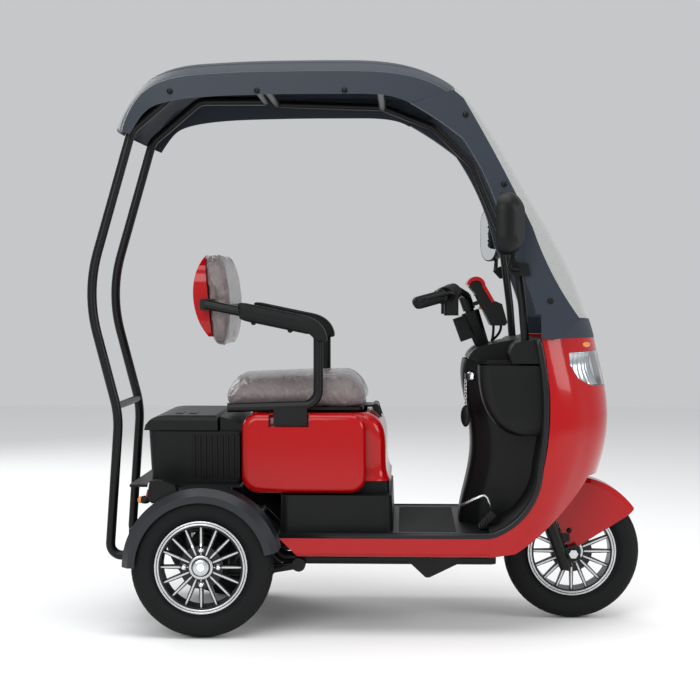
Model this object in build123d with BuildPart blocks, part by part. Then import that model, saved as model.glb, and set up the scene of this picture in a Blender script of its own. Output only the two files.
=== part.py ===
from build123d import *
import os
from math import cos, radians, sin, tan

# Roofed electric tricycle with one seat, at real size.
# Millimetres, +X forward, +Y to the rider's left, +Z up, floor at Z = 0.
os.makedirs("parts", exist_ok=True)

# Driving sizes
WHEEL_R = 206.0
TYRE_W = 80.0
RIM_R = 134.0
FRONT_AXLE_X = 620.0
REAR_AXLE_X = -470.0
HALF_TRACK = 325.0
BODY_HALF_W = 320.0
FLOOR_Z = 299.0
FLOOR_T = 12.0
DECK_Z = 433.0
SKIRT_LOW_Z = 232.0
COWL_Z = 860.0
ROOF_TOP_Z = 1692.0
POST_TOP_Z = ROOF_TOP_Z - 92
RAKE = 20.0
STEER_X = 349.0
STEER_Z = 829.0
SEAT_TOP_Z = 646.0
POST_Y = 190.0

# Walls and clearances
SKIN = 5.0
SEAM = 0.4
RUN_FIT = 0.05
MOVE_GAP = 6.0
POST_R = 14.0
ARM_R = 14.0
BAR_R = 11.0
STEM_R = 14.0
STUB_R = 12.0

# The steering frame: z runs up the stem, x points ahead of it, y is the rider's left
STEER = Plane(
    origin=(STEER_X, 0, STEER_Z),
    x_dir=(cos(radians(RAKE)), 0, sin(radians(RAKE))),
    z_dir=(-sin(radians(RAKE)), 0, cos(radians(RAKE))),
)
AXLE_IN_STEER = STEER.to_local_coords(Vector(FRONT_AXLE_X, 0, WHEEL_R))


def keep(part, name):
    part.label = name
    export_step(part, f"parts/{name}.step")


def tube(points, bend, radius):
    with BuildPart() as made:
        with BuildLine() as path:
            FilletPolyline(*points, radius=bend)
        with BuildSketch(Plane(origin=path.line @ 0, z_dir=path.line % 0)):
            Circle(radius)
        sweep(path=path.line)
    return made.part


def steer_plane(x, y, z):
    return Plane(origin=STEER.from_local_coords(Vector(x, y, z)), x_dir=STEER.x_dir, z_dir=STEER.z_dir)


def rounded_run(points, radii):
    # Lines joined by tangent arcs, one radius for each inner corner
    start = Vector(*points[0])
    for before, corner, after, radius in zip(points, points[1:], points[2:], radii):
        here = Vector(*corner)
        back = (Vector(*before) - here).normalized()
        ahead = (Vector(*after) - here).normalized()
        half_angle = radians(back.get_angle(ahead)) / 2
        middle = (back + ahead).normalized()
        cut = radius / tan(half_angle)
        top = here + middle * (radius / sin(half_angle) - radius)
        Line(start, here + back * cut)
        ThreePointArc(here + back * cut, top, here + ahead * cut)
        start = here + ahead * cut
    Line(start, Vector(*points[-1]))


# Tyre and rim, made about the Y axis with the outer side at -Y
BEAD_R = RIM_R - 7.7


def tyre_about_y():
    half = TYRE_W / 2
    with BuildPart() as made:
        with BuildSketch(Plane.XY):
            with BuildLine():
                Line((BEAD_R, -25.5), (RIM_R + 1, -29.6))
                ThreePointArc((RIM_R + 1, -29.6), (WHEEL_R - 34, -half), (WHEEL_R - 10, 8 - half))
                ThreePointArc((WHEEL_R - 10, 8 - half), (WHEEL_R, 0), (WHEEL_R - 10, half - 8))
                ThreePointArc((WHEEL_R - 10, half - 8), (WHEEL_R - 34, half), (RIM_R + 1, 29.6))
                Line((RIM_R + 1, 29.6), (BEAD_R, 25.5))
                Line((BEAD_R, 25.5), (BEAD_R, -25.5))
            make_face()
        revolve(axis=Axis.Y)
    return made.part


SPOKES = 16


def rim_about_y(bore_r, through):
    low = RIM_R - 18
    with BuildPart() as made:
        with BuildSketch(Plane.XY):
            with BuildLine():
                Polyline(
                    (low, -36), (RIM_R, -36), (RIM_R, -30), (RIM_R - 8, -26),
                    (RIM_R - 8, 26), (RIM_R, 30), (RIM_R, 36), (low, 36), close=True,
                )
            make_face()
        revolve(axis=Axis.Y)
        with BuildSketch(Plane.XZ.offset(24)):
            with PolarLocations(0, SPOKES):
                Polygon((30, -7), (low + 1, -4.5), (low + 1, 4.5), (30, 7), align=None)
        extrude(amount=-18)
        with BuildSketch(Plane.XZ.offset(27)):
            Circle(62)
        extrude(amount=-9)
        with BuildSketch(Plane.XZ.offset(30)):
            Circle(34)
        extrude(amount=-60)
        if through:
            with BuildSketch(Plane.XZ.offset(-30)):
                Circle(62)
            extrude(amount=34)
        else:
            with BuildSketch(Plane.XZ.offset(38)):
                Circle(24)
            extrude(amount=-10)
        with BuildSketch(Plane.XZ.offset(40 if through else 20)):
            Circle(bore_r)
        extrude(amount=-80, mode=Mode.SUBTRACT)
    return made.part


tyre = tyre_about_y()
front_hub = Location((FRONT_AXLE_X, 0, WHEEL_R))
right_hub = Location((REAR_AXLE_X, -HALF_TRACK, WHEEL_R))
AXLE_R = 8.0
front_rim = rim_about_y(AXLE_R + RUN_FIT, True)
rear_rim = rim_about_y(STUB_R + RUN_FIT, False)
right_rim = right_hub * rear_rim
right_tyre = right_hub * tyre

keep(front_hub * tyre, "front_tyre")
keep(front_hub * front_rim, "front_rim")
keep(right_tyre, "rear_tyre_right")
keep(right_rim, "rear_rim_right")
keep(mirror(right_tyre, about=Plane.XZ), "rear_tyre_left")
keep(mirror(right_rim, about=Plane.XZ), "rear_rim_left")

# Chassis: two rails that rise over the rear axle, cross members, down tube and head tube
RAIL_Y = 160.0
RAIL_R = 19.0
RAIL_Z = 205.0
RAIL_REAR_Z = WHEEL_R + 94
REAR_BAR_X = -700.0
HEAD_TOP = -60.0
HEAD_LOW = -412.0
rail_path = [
    (372, -RAIL_Y, RAIL_Z), (-250, -RAIL_Y, RAIL_Z), (-340, -RAIL_Y, RAIL_REAR_Z),
    (-600, -RAIL_Y, RAIL_REAR_Z), (REAR_BAR_X + 20, -RAIL_Y, 213),
]
right_rail = tube(rail_path, 40, RAIL_R)
head_low = STEER.from_local_coords(Vector(0, 0, -300))
down_tube = tube([(379, 0, RAIL_Z), (379, 0, 430), (head_low.X, 0, head_low.Z)], 60, 19)
with BuildPart() as chassis:
    add(right_rail)
    mirror(about=Plane.XZ)
    for x, z in ((365, RAIL_Z), (-20, RAIL_Z), (-345, RAIL_REAR_Z), (-585, RAIL_REAR_Z)):
        with BuildSketch(Plane.XZ.offset(-RAIL_Y)):
            with Locations((x, z)):
                RectangleRounded(36, 36, 5)
        extrude(amount=2 * RAIL_Y)
    with BuildSketch(Plane.XZ.offset(-POST_Y + POST_R + SEAM)):
        with Locations((REAR_BAR_X, 213)):
            RectangleRounded(44, 40, 5)
    extrude(amount=2 * (POST_Y - POST_R - SEAM))
    for x, low, top in (
        (-190, RAIL_Z, FLOOR_Z - FLOOR_T), (300, RAIL_Z, FLOOR_Z - FLOOR_T),
        (-420, RAIL_REAR_Z, DECK_Z - 8), (-585, RAIL_REAR_Z, DECK_Z - 8),
    ):
        with BuildSketch(Plane.XY.offset(low)):
            with Locations((x, RAIL_Y), (x, -RAIL_Y)):
                RectangleRounded(34, 30, 4)
        extrude(amount=top - SEAM - low)
    add(down_tube)
    with BuildSketch(STEER.offset(HEAD_LOW)):
        Circle(26)
    extrude(amount=HEAD_TOP - HEAD_LOW)
    with BuildSketch(Plane.YZ.offset(REAR_BAR_X - 22)):
        with Locations((0, 236)):
            Rectangle(200, 80)
        with GridLocations(140, 1, 2, 1):
            with Locations((0, 258)):
                Circle(4.25, mode=Mode.SUBTRACT)
    extrude(amount=6)
    with BuildSketch(STEER.offset(HEAD_LOW - 1)):
        Circle(STEM_R + RUN_FIT)
    extrude(amount=HEAD_TOP - HEAD_LOW + 2, mode=Mode.SUBTRACT)
keep(chassis.part, "chassis_frame")

# Rear axle with its trailing arms, the drive motor and the spring legs
with BuildPart() as rear_axle:
    with BuildSketch(Plane.XZ.offset(-265)):
        with Locations((REAR_AXLE_X, WHEEL_R)):
            Circle(24)
    extrude(amount=530)
    with BuildSketch(Plane.XZ.offset(-HALF_TRACK - 16)):
        with Locations((REAR_AXLE_X, WHEEL_R)):
            Circle(STUB_R)
    extrude(amount=2 * HALF_TRACK + 32)
    with BuildSketch(Plane.XZ.offset(-265)):
        with Locations((REAR_AXLE_X, WHEEL_R)):
            Circle(70)
    extrude(amount=8)
    with BuildSketch(Plane.XZ.offset(257)):
        with Locations((REAR_AXLE_X, WHEEL_R)):
            Circle(70)
    extrude(amount=8)
keep(rear_axle.part, "rear_axle")

ARM_Y = 198.0
arm_path = [(REAR_AXLE_X + 28, -ARM_Y, WHEEL_R - 36), (-330, -ARM_Y, 168), (-200, -ARM_Y, 190)]
right_arm = tube(arm_path, 40, 13)
with BuildPart() as arms:
    add(right_arm)
    with BuildSketch(Plane.XZ.offset(ARM_Y - 16)):
        with Locations((REAR_AXLE_X, WHEEL_R)):
            Circle(44)
            Circle(24 + SEAM, mode=Mode.SUBTRACT)
    extrude(amount=32)
    with BuildSketch(Plane.XZ.offset(RAIL_Y + RAIL_R + SEAM)):
        with Locations((-200, 190)):
            Circle(20)
    extrude(amount=ARM_Y - RAIL_Y - RAIL_R + 12)
    mirror(about=Plane.XZ)
keep(arms.part, "trailing_arms")

with BuildPart() as motor:
    with BuildSketch(Plane.XZ.offset(-95)):
        with Locations((REAR_AXLE_X, WHEEL_R)):
            Circle(78)
    extrude(amount=150)
    fillet(motor.edges().filter_by(GeomType.CIRCLE), 8)
    with BuildSketch(Plane.XZ.offset(-60)):
        with Locations((REAR_AXLE_X + 80, WHEEL_R + 6)):
            Circle(62)
    extrude(amount=60)
    with BuildSketch(Plane.XZ.offset(-120)):
        with Locations((REAR_AXLE_X, WHEEL_R)):
            Circle(24 + SEAM)
    extrude(amount=240, mode=Mode.SUBTRACT)
keep(motor.part, "drive_motor")

SHOCK_Y = 229.0
shock_low = Vector(REAR_AXLE_X - 6, -SHOCK_Y, WHEEL_R + 27)
shock_top = Vector(REAR_AXLE_X + 45, -SHOCK_Y, 418)
shock_axis = shock_top - shock_low
shock_plane = Plane(origin=shock_low, z_dir=shock_axis)
with BuildPart() as shocks:
    with BuildSketch(shock_plane):
        Circle(9)
    extrude(amount=shock_axis.length)
    for step in range(8):
        with BuildSketch(shock_plane.offset(34 + 15 * step)):
            Circle(24)
        extrude(amount=8)
    with BuildSketch(shock_plane.offset(28)):
        Circle(18)
    extrude(amount=128)
    mirror(about=Plane.XZ)
keep(shocks.part, "shock_absorbers")

# Floor board with raised edge beads, and the red side skirts under it
FLOOR_FRONT_X = 355.0
FLOOR_REAR_X = -252.0
with BuildPart() as floor:
    with BuildSketch(Plane.XY.offset(FLOOR_Z - FLOOR_T)):
        with BuildLine():
            Polyline(
                (FLOOR_REAR_X, -BODY_HALF_W), (FLOOR_FRONT_X, -BODY_HALF_W),
                (FLOOR_FRONT_X, BODY_HALF_W), (FLOOR_REAR_X, BODY_HALF_W), close=True,
            )
        make_face()
    extrude(amount=FLOOR_T)
    chamfer(floor.edges().filter_by(Axis.X).group_by(Axis.Z)[-1], 5)
keep(floor.part, "floor_board")

SKIRT_TOP_Z = FLOOR_Z - FLOOR_T - SEAM
with BuildPart() as skirts:
    with BuildSketch(Plane.XZ.offset(BODY_HALF_W - 30)):
        Polygon(
            (-195, SKIRT_LOW_Z), (FLOOR_FRONT_X - SEAM, SKIRT_LOW_Z),
            (FLOOR_FRONT_X - SEAM, SKIRT_TOP_Z), (-250, SKIRT_TOP_Z), align=None,
        )
    extrude(amount=30)
    fillet(skirts.edges().filter_by(Axis.X).group_by(Axis.Z)[0].sort_by(Axis.Y)[0], 14)
    with BuildSketch(Plane.XZ.offset(BODY_HALF_W - 31)):
        Polygon(
            (-260, SKIRT_LOW_Z + SKIN), (FLOOR_FRONT_X + 5, SKIRT_LOW_Z + SKIN),
            (FLOOR_FRONT_X + 5, SKIRT_TOP_Z - SKIN), (-260, SKIRT_TOP_Z - SKIN), align=None,
        )
    extrude(amount=31 - SKIN, mode=Mode.SUBTRACT)
    mirror(about=Plane.XZ)
keep(skirts.part, "side_skirts")

# Front fairing: a shell lofted through level sections, cut to its side outline
# Columns: height, front at the centre line, half width
FAIRING_ROWS = (
    (200.0, 600.0, BODY_HALF_W - 4),
    (330.0, 640.0, BODY_HALF_W),
    (440.0, 684.0, BODY_HALF_W + 2),
    (590.0, 719.0, BODY_HALF_W + 2),
    (720.0, 711.0, BODY_HALF_W),
    (COWL_Z, 680.0, BODY_HALF_W - 3),
)
NOSE_BACK = 150.0
NOSE_HALF = 150.0
NOSE_R = 260.0
CORNER_R = 180.0


def nose_loft(rows, inset, rear_x):
    with BuildPart() as made:
        for z, front, half in rows:
            with BuildSketch(Plane.XY.offset(z)):
                x1 = front - NOSE_BACK
                side = half - inset
                nose = front - inset
                with BuildLine():
                    rounded_run(
                        [
                            (rear_x, -side), (x1, -side), (nose, -NOSE_HALF),
                            (nose, NOSE_HALF), (x1, side), (rear_x, side),
                        ],
                        [CORNER_R, NOSE_R, NOSE_R, CORNER_R],
                    )
                    Line((rear_x, side), (rear_x, -side))
                make_face()
        loft()
    return made.part


fairing_outer = nose_loft(FAIRING_ROWS, 0, 300)
fairing_inner = nose_loft(FAIRING_ROWS, SKIN, 290)
with BuildPart() as fairing_shell:
    add(fairing_outer)
    add(fairing_inner, mode=Mode.SUBTRACT)

LAMP_SIDE = ((585, 818), (760, 826), (760, 716), (658, 721), (613, 745), (588, 785))
LAMP_INNER_Y = 70.0
ARCH_FRONT_X = FRONT_AXLE_X + 32
ARCH_TOP_Z = WHEEL_R + 249
ARCH_MID_X = FRONT_AXLE_X - 60
ARCH_MID_Z = WHEEL_R + 137
with BuildPart() as fairing:
    add(fairing_shell.part)
    with BuildSketch(Plane.XZ):
        with BuildLine():
            Polyline((502, COWL_Z), (780, COWL_Z), (780, ARCH_TOP_Z), (ARCH_FRONT_X, ARCH_TOP_Z))
            ThreePointArc((ARCH_FRONT_X, ARCH_TOP_Z), (ARCH_MID_X, ARCH_MID_Z), (430, 242))
            Polyline((430, 242), (FLOOR_FRONT_X, SKIRT_LOW_Z), (FLOOR_FRONT_X, SKIRT_TOP_Z), (372, 292))
            ThreePointArc((372, 292), (458, 354), (509, 485))
            ThreePointArc((509, 485), (527, 634), (502, COWL_Z))
        make_face()
    extrude(amount=400, both=True, mode=Mode.INTERSECT)
    with BuildSketch(Plane.XZ.offset(LAMP_INNER_Y - 0.7)):
        Polygon(*LAMP_SIDE, align=None)
        offset(amount=0.7, kind=Kind.INTERSECTION)
    extrude(amount=300, mode=Mode.SUBTRACT)
    with BuildSketch(Plane.XZ.offset(0.7 - LAMP_INNER_Y)):
        Polygon(*LAMP_SIDE, align=None)
        offset(amount=0.7, kind=Kind.INTERSECTION)
    extrude(amount=-300, mode=Mode.SUBTRACT)
keep(fairing.part, "front_fairing")

with BuildPart() as lamps:
    add(fairing_shell.part)
    with BuildSketch(Plane.XZ.offset(LAMP_INNER_Y)):
        Polygon(*LAMP_SIDE, align=None)
    extrude(amount=300, mode=Mode.INTERSECT)
    mirror(about=Plane.XZ)
keep(lamps.part, "headlamps")

# Leg shield: a curved full-width panel, a console round the column, a dash and two pockets
CONSOLE_ROWS = (
    (FLOOR_Z + SEAM, 276.0, 105.0),
    (430.0, 299.0, 110.0),
    (590.0, 309.0, 118.0),
    (745.0, 284.0, 128.0),
    (792.0, 290.0, 130.0),
)


def console_loft(inset, front_x):
    with BuildPart() as made:
        for z, rear, half in CONSOLE_ROWS:
            side = half - inset
            back = rear + inset
            with BuildSketch(Plane.XY.offset(z)):
                with BuildLine():
                    rounded_run(
                        [
                            (front_x, -side - 30), (rear + 60, -side), (back, 45 - side),
                            (back, side - 45), (rear + 60, side), (front_x, side + 30),
                        ],
                        [40, 40, 40, 40],
                    )
                    Line((front_x, side + 30), (front_x, -side - 30))
                make_face()
        loft()
    return made.part


# Heights between the cowl and the roof stretch with the roof
RISE = (ROOF_TOP_Z - COWL_Z) / 832
PILLAR_OUT = BODY_HALF_W - 4
PILLAR_IN = PILLAR_OUT - 28
FRAME_R = 12.0
FRAME_Y = PILLAR_IN - FRAME_R - 2
FRAME_BAR_X = 40.0
FRAME_BAR_Z = POST_TOP_Z - 12
FRAME_END_X = -300.0
front_tube_path = [
    (462, -FRAME_Y, COWL_Z - 60), (450, -FRAME_Y, COWL_Z + 90 * RISE), (421, -FRAME_Y, COWL_Z + 320 * RISE),
    (328, -FRAME_Y, COWL_Z + 542 * RISE),
    (205, -FRAME_Y, POST_TOP_Z - 78), (FRAME_BAR_X, -FRAME_Y, FRAME_BAR_Z),
    (FRAME_END_X, -FRAME_Y, POST_TOP_Z),
]
front_tube = tube(front_tube_path, 60, FRAME_R)
# Pocket on each side of the console: rounded bin with an open top
# Columns: height, rearmost x, inner half y, outer half y
POCKET_ROWS = (
    (578.0, 430.0, 172.0, BODY_HALF_W - 48),
    (600.0, 388.0, 160.0, BODY_HALF_W - 36),
    (660.0, 345.0, 150.0, BODY_HALF_W - 30),
    (782.0, 326.0, 146.0, BODY_HALF_W - 26),
)


def pocket_loft(inset, lift, front):
    with BuildPart() as made:
        for z, rear, inner, outer in POCKET_ROWS:
            with BuildSketch(Plane.XY.offset(z + lift)):
                with BuildLine():
                    rounded_run(
                        [
                            (front, -outer + inset), (rear + inset, -outer + inset),
                            (rear + inset, -inner - inset), (front, -inner - inset),
                        ],
                        [34 - inset, 34 - inset],
                    )
                    Line((front, -inner - inset), (front, -outer + inset))
                make_face()
        loft()
    return made.part


pocket_outer = pocket_loft(0, 0, 512)
pocket_inner = pocket_loft(4, 6, 490)
frame_hole = tube(front_tube_path, 60, FRAME_R + SEAM)
SHIELD_W = BODY_HALF_W - 2
console_outer = console_loft(0, 470)
console_inner = console_loft(SKIN, 560)
with BuildPart() as shield:
    with BuildSketch(Plane.XZ):
        with BuildLine():
            Polyline((482, 858), (500, 858))
            ThreePointArc((500, 858), (525, 634), (507, 486))
            ThreePointArc((507, 486), (456, 355), (371, 294))
            Polyline((371, 294), (FLOOR_FRONT_X + SEAM, 290), (FLOOR_FRONT_X + SEAM, 312), (368, 314))
            ThreePointArc((368, 314), (442, 366), (489, 490))
            ThreePointArc((489, 490), (506, 634), (482, 858))
        make_face()
    extrude(amount=SHIELD_W, both=True)
    add(console_outer)
    with BuildSketch(Plane.XZ):
        with BuildLine():
            Polyline((500, 858), (430, 852), (345, 834))
            RadiusArc((345, 834), (300, 795), -60)
            Polyline((300, 795), (330, 786), (500, 786), (500, 858))
        make_face()
    extrude(amount=132, both=True)
    with BuildSketch(Plane.XZ):
        with BuildLine():
            Polyline((500, 858), (450, 854))
            RadiusArc((450, 854), (412, 815), -42)
            Polyline((412, 815), (420, 789), (500, 789), (500, 858))
        make_face()
    extrude(amount=SHIELD_W - 8, both=True)
    add(console_inner, mode=Mode.SUBTRACT)
    with BuildSketch(Plane.XZ):
        with BuildLine():
            Polyline((360, 700), (360, 828), (430, 845), (492, 850))
            ThreePointArc((492, 850), (513, 700), (503, 560))
            Polyline((503, 560), (503, 500), (360, 700))
        make_face()
    extrude(amount=80, both=True, mode=Mode.SUBTRACT)
    with BuildSketch(STEER.offset(-120)):
        Circle(44)
    extrude(amount=180, mode=Mode.SUBTRACT)
    with BuildSketch(STEER.offset(HEAD_LOW)):
        Circle(34)
    extrude(amount=300, mode=Mode.SUBTRACT)
    with BuildSketch(Plane.XY.offset(280)):
        Polygon((350, -26), (420, -26), (420, 26), (350, 26), align=None)
    extrude(amount=160, mode=Mode.SUBTRACT)
    add(frame_hole, mode=Mode.SUBTRACT)
    add(mirror(frame_hole, about=Plane.XZ, mode=Mode.PRIVATE), mode=Mode.SUBTRACT)
keep(shield.part, "leg_shield")

console_clear = console_loft(-SEAM, 470)
with BuildPart() as pockets:
    add(pocket_outer)
    add(pocket_inner, mode=Mode.SUBTRACT)
    with BuildSketch(Plane.XZ):
        with BuildLine():
            ThreePointArc((489 - SEAM, 490), (506 - SEAM, 634), (482 - SEAM, 858))
            Polyline((482 - SEAM, 858), (560, 858), (560, 490), (489 - SEAM, 490))
        make_face()
    extrude(amount=400, both=True, mode=Mode.SUBTRACT)
    add(console_clear, mode=Mode.SUBTRACT)
    mirror(about=Plane.XZ)
keep(pockets.part, "glove_pockets")

# Cowl and screen pillars in dark grey, one moulding
COWL_ROWS = (
    (COWL_Z + SEAM, 680.0, BODY_HALF_W - 3),
    (COWL_Z + 30, 672.0, BODY_HALF_W - 4),
    (COWL_Z + 55, 664.0, BODY_HALF_W - 7),
)
cowl_outer = nose_loft(COWL_ROWS, 0, 400)
cowl_inner = nose_loft(COWL_ROWS, SKIN, 390)
# The roof meets the pillars along a sloping seam: its rear and front ends
SEAM_REAR_X = 128.0
SEAM_REAR_Z = ROOF_TOP_Z - 160
SEAM_FRONT_X = 249.0
SEAM_FRONT_Z = ROOF_TOP_Z - 124
PILLAR_BEND_Z = COWL_Z + 571 * RISE
with BuildPart() as pillars:
    with BuildSketch(Plane.XZ.offset(PILLAR_IN)):
        with BuildLine():
            Polyline((502, COWL_Z + SEAM), (560, COWL_Z + SEAM), (600, COWL_Z + 45), (612, COWL_Z + 55))
            ThreePointArc((612, COWL_Z + 55), (526, COWL_Z + 195 * RISE), (475, COWL_Z + 317 * RISE))
            ThreePointArc((475, COWL_Z + 317 * RISE), (374, COWL_Z + 515 * RISE), (278, SEAM_FRONT_Z - 24))
            Polyline(
                (278, SEAM_FRONT_Z - 24), (SEAM_FRONT_X, SEAM_FRONT_Z - SEAM),
                (SEAM_REAR_X, SEAM_REAR_Z - SEAM),
            )
            ThreePointArc((SEAM_REAR_X, SEAM_REAR_Z - SEAM), (196, SEAM_REAR_Z - 42), (277, PILLAR_BEND_Z))
            ThreePointArc((277, PILLAR_BEND_Z), (353, COWL_Z + 434 * RISE), (402, COWL_Z + 280 * RISE))
            ThreePointArc((402, COWL_Z + 280 * RISE), (466, COWL_Z + 140 * RISE), (502, COWL_Z + SEAM))
        make_face()
    extrude(amount=PILLAR_OUT - PILLAR_IN)
    mirror(about=Plane.XZ)
    add(cowl_outer)
    with BuildSketch(Plane.XZ):
        Polygon((380, 850), (502, 850), (502, 930), (380, 930), align=None)
    extrude(amount=400, both=True, mode=Mode.SUBTRACT)
    add(cowl_inner, mode=Mode.SUBTRACT)
keep(pillars.part, "screen_surround")

# Screen: a clear sheet bowed forward between the pillars
# Columns: height, front at the pillars, front at the centre line
SCREEN_ROWS = (
    (COWL_Z + 57, 600.0, 663.0),
    (COWL_Z + 200 * RISE, 519.0, 610.0),
    (COWL_Z + 320 * RISE, 466.0, 546.0),
    (COWL_Z + 465 * RISE, 400.0, 460.0),
    (COWL_Z + 610 * RISE, 312.0, 376.0),
    (COWL_Z + 696 * RISE, 258.0, 315.0),
    (COWL_Z + 754 * RISE, 219.0, 262.0),
)
SCREEN_T = 5.0
# The roof's front end: crown, slope of its face and the gap kept to the screen
ROOF_NOSE_X = 262.0
ROOF_NOSE_DROP = 88.0
ROOF_NOSE_SLOPE = -33.0
SCREEN_GAP = 2.5
roof_nose = Plane(
    origin=(ROOF_NOSE_X, 0, ROOF_TOP_Z - ROOF_NOSE_DROP), x_dir=(0, 1, 0),
    z_dir=(cos(radians(ROOF_NOSE_SLOPE)), 0, sin(radians(ROOF_NOSE_SLOPE))),
)
SCREEN_HALF = PILLAR_IN - SEAM
with BuildPart() as screen:
    for z, side, middle in SCREEN_ROWS:
        with BuildSketch(Plane.XY.offset(z)):
            with BuildLine():
                back = side - SCREEN_T
                ThreePointArc((side, -SCREEN_HALF), (middle, 0), (side, SCREEN_HALF))
                Line((side, SCREEN_HALF), (back, SCREEN_HALF))
                ThreePointArc((back, SCREEN_HALF), (middle - SCREEN_T, 0), (back, -SCREEN_HALF))
                Line((back, -SCREEN_HALF), (side, -SCREEN_HALF))
            make_face()
    loft()
    split(bisect_by=roof_nose.offset(SCREEN_GAP), keep=Keep.TOP)
keep(screen.part, "windscreen")

# Roof: a crowned channel lofted along the top line
# Columns: x of the crown, its drop below the top, slope in degrees, half width, crown drop, skirt depth
ROOF_HALF = BODY_HALF_W - 2
ROOF_ROWS = (
    (-752.0, 216.0, 68.0, ROOF_HALF - 18, 40.0, 78.0),
    (-694.0, 92.0, 48.0, ROOF_HALF - 6, 50.0, 112.0),
    (-600.0, 29.0, 19.0, ROOF_HALF - 2, 56.0, 130.0),
    (-470.0, 8.0, 5.0, ROOF_HALF, 56.0, 133.0),
    (-340.0, 2.0, 1.5, ROOF_HALF, 56.0, 134.0),
    (-200.0, 0.0, 0.0, ROOF_HALF, 56.0, 134.0),
    (-60.0, 0.0, -1.0, ROOF_HALF, 56.0, 134.0),
    (60.0, 7.0, -7.0, ROOF_HALF, 54.0, 131.0),
    (160.0, 31.0, -22.0, ROOF_HALF, 48.0, 132.0),
    (ROOF_NOSE_X, ROOF_NOSE_DROP, ROOF_NOSE_SLOPE, ROOF_HALF, 38.0, 112.0),
)
ROOF_STEP = 8.0
with BuildPart() as roof:
    for x, below, slope, half, drop, depth in ROOF_ROWS:
        s = sin(radians(slope))
        c = cos(radians(slope))
        with BuildSketch(Plane(origin=(x, 0, ROOF_TOP_Z - below), x_dir=(0, 1, 0), z_dir=(c, 0, s))):
            edge = half - 46
            step = -drop - ROOF_STEP
            under = step - SKIN
            wall = half - SKIN
            with BuildLine():
                Polyline((-half, -depth), (4 - half, -drop - 14), (-edge - 16, step), (-edge, -drop))
                ThreePointArc((-edge, -drop), (0, 0), (edge, -drop))
                Polyline((edge, -drop), (edge + 16, step), (half - 4, -drop - 14), (half, -depth))
                Polyline((half, -depth), (wall, -depth), (wall - 4, -drop - 18), (edge - 2, under))
                ThreePointArc((edge - 2, under), (0, -SKIN), (2 - edge, under))
                Polyline((2 - edge, under), (4 - wall, -drop - 18), (-wall, -depth), (-half, -depth))
            make_face()
    loft()
    for near, out in ((POST_Y - 8, 16), (8 - POST_Y, -16)):
        with BuildSketch(Plane.XZ.offset(near)):
            Polygon(
                (-500, POST_TOP_Z + POST_R + SEAM), (-345, POST_TOP_Z + POST_R + SEAM),
                (-345, ROOF_TOP_Z - 32), (-500, ROOF_TOP_Z - 36), align=None,
            )
        extrude(amount=out)
    with BuildSketch(Plane.XZ):
        Polygon(
            (SEAM_REAR_X, SEAM_REAR_Z), (SEAM_FRONT_X, SEAM_FRONT_Z), (SEAM_FRONT_X + 120, SEAM_FRONT_Z + 36),
            (SEAM_FRONT_X + 120, SEAM_REAR_Z - 150), (SEAM_REAR_X, SEAM_REAR_Z - 150), align=None,
        )
    extrude(amount=BODY_HALF_W + 80, both=True, mode=Mode.SUBTRACT)
keep(roof.part, "roof")

# Steel tubes that carry the roof: a front pair behind the pillars and the bent rear posts
with BuildPart() as front_frame:
    add(front_tube)
    mirror(about=Plane.XZ)
    for x, z in ((FRAME_BAR_X, FRAME_BAR_Z), (FRAME_END_X, POST_TOP_Z)):
        with BuildSketch(Plane.XZ.offset(-FRAME_Y)):
            with Locations((x, z)):
                Circle(FRAME_R)
        extrude(amount=2 * FRAME_Y)
keep(front_frame.part, "front_roof_frame")

post_path = [
    (-330, -POST_Y, POST_TOP_Z), (-540, -POST_Y, POST_TOP_Z), (-692, -POST_Y, POST_TOP_Z - 130),
    (-829, -POST_Y, 992), (-734, -POST_Y, 628), (-763, -POST_Y, 213), (REAR_BAR_X + 10, -POST_Y, 213),
]
right_post = tube(post_path, [60, 60, 460, 300, 34], POST_R)
with BuildPart() as posts:
    add(right_post)
    mirror(about=Plane.XZ)
    for x, z in ((-330, POST_TOP_Z), (-742, 655)):
        with BuildSketch(Plane.XZ.offset(-POST_Y)):
            with Locations((x, z)):
                Circle(11)
        extrude(amount=2 * POST_Y)
keep(posts.part, "rear_posts")

# Black base under the seat and the red housing over it
BASE_FRONT_X = 79.0
BASE_REAR_X = -252.0
BASE_HALF = 270.0
HOUSE_LOW_Z = 441.0
with BuildPart() as base:
    with BuildSketch(Plane.XY.offset(FLOOR_Z + SEAM)):
        with Locations(((BASE_FRONT_X + BASE_REAR_X) / 2, 0)):
            RectangleRounded(BASE_FRONT_X - BASE_REAR_X, 2 * BASE_HALF, 30)
    extrude(amount=403 - FLOOR_Z - SEAM, taper=2)
    with BuildSketch(Plane.XY.offset(400)):
        with Locations((-92, 0)):
            RectangleRounded(320, 410, 20)
    extrude(amount=HOUSE_LOW_Z - 400 - SEAM)
    with BuildSketch(Plane.XY.offset(FLOOR_Z + SEAM + SKIN)):
        with Locations(((BASE_FRONT_X + BASE_REAR_X) / 2, 0)):
            RectangleRounded(BASE_FRONT_X - BASE_REAR_X - 40, 390, 14)
    extrude(amount=200, mode=Mode.SUBTRACT)
keep(base.part, "base_box")

# Columns: height, rear, front, half width
HOUSE_ROWS = (
    (HOUSE_LOW_Z, -340.0, 72.0, 224.0),
    (560.0, -344.0, 56.0, 224.0),
    (628.0, -344.0, 26.0, 220.0),
    (SEAT_TOP_Z - 6.0, -336.0, 2.0, 210.0),
)


def house_loft(inset, lift):
    with BuildPart() as made:
        for z, rear, front, half in HOUSE_ROWS:
            with BuildSketch(Plane.XY.offset(z + lift)):
                with Locations(((rear + front) / 2, 0)):
                    RectangleRounded(front - rear - 2 * inset, 2 * (half - inset), 40 - inset)
        loft()
    return made.part


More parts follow.
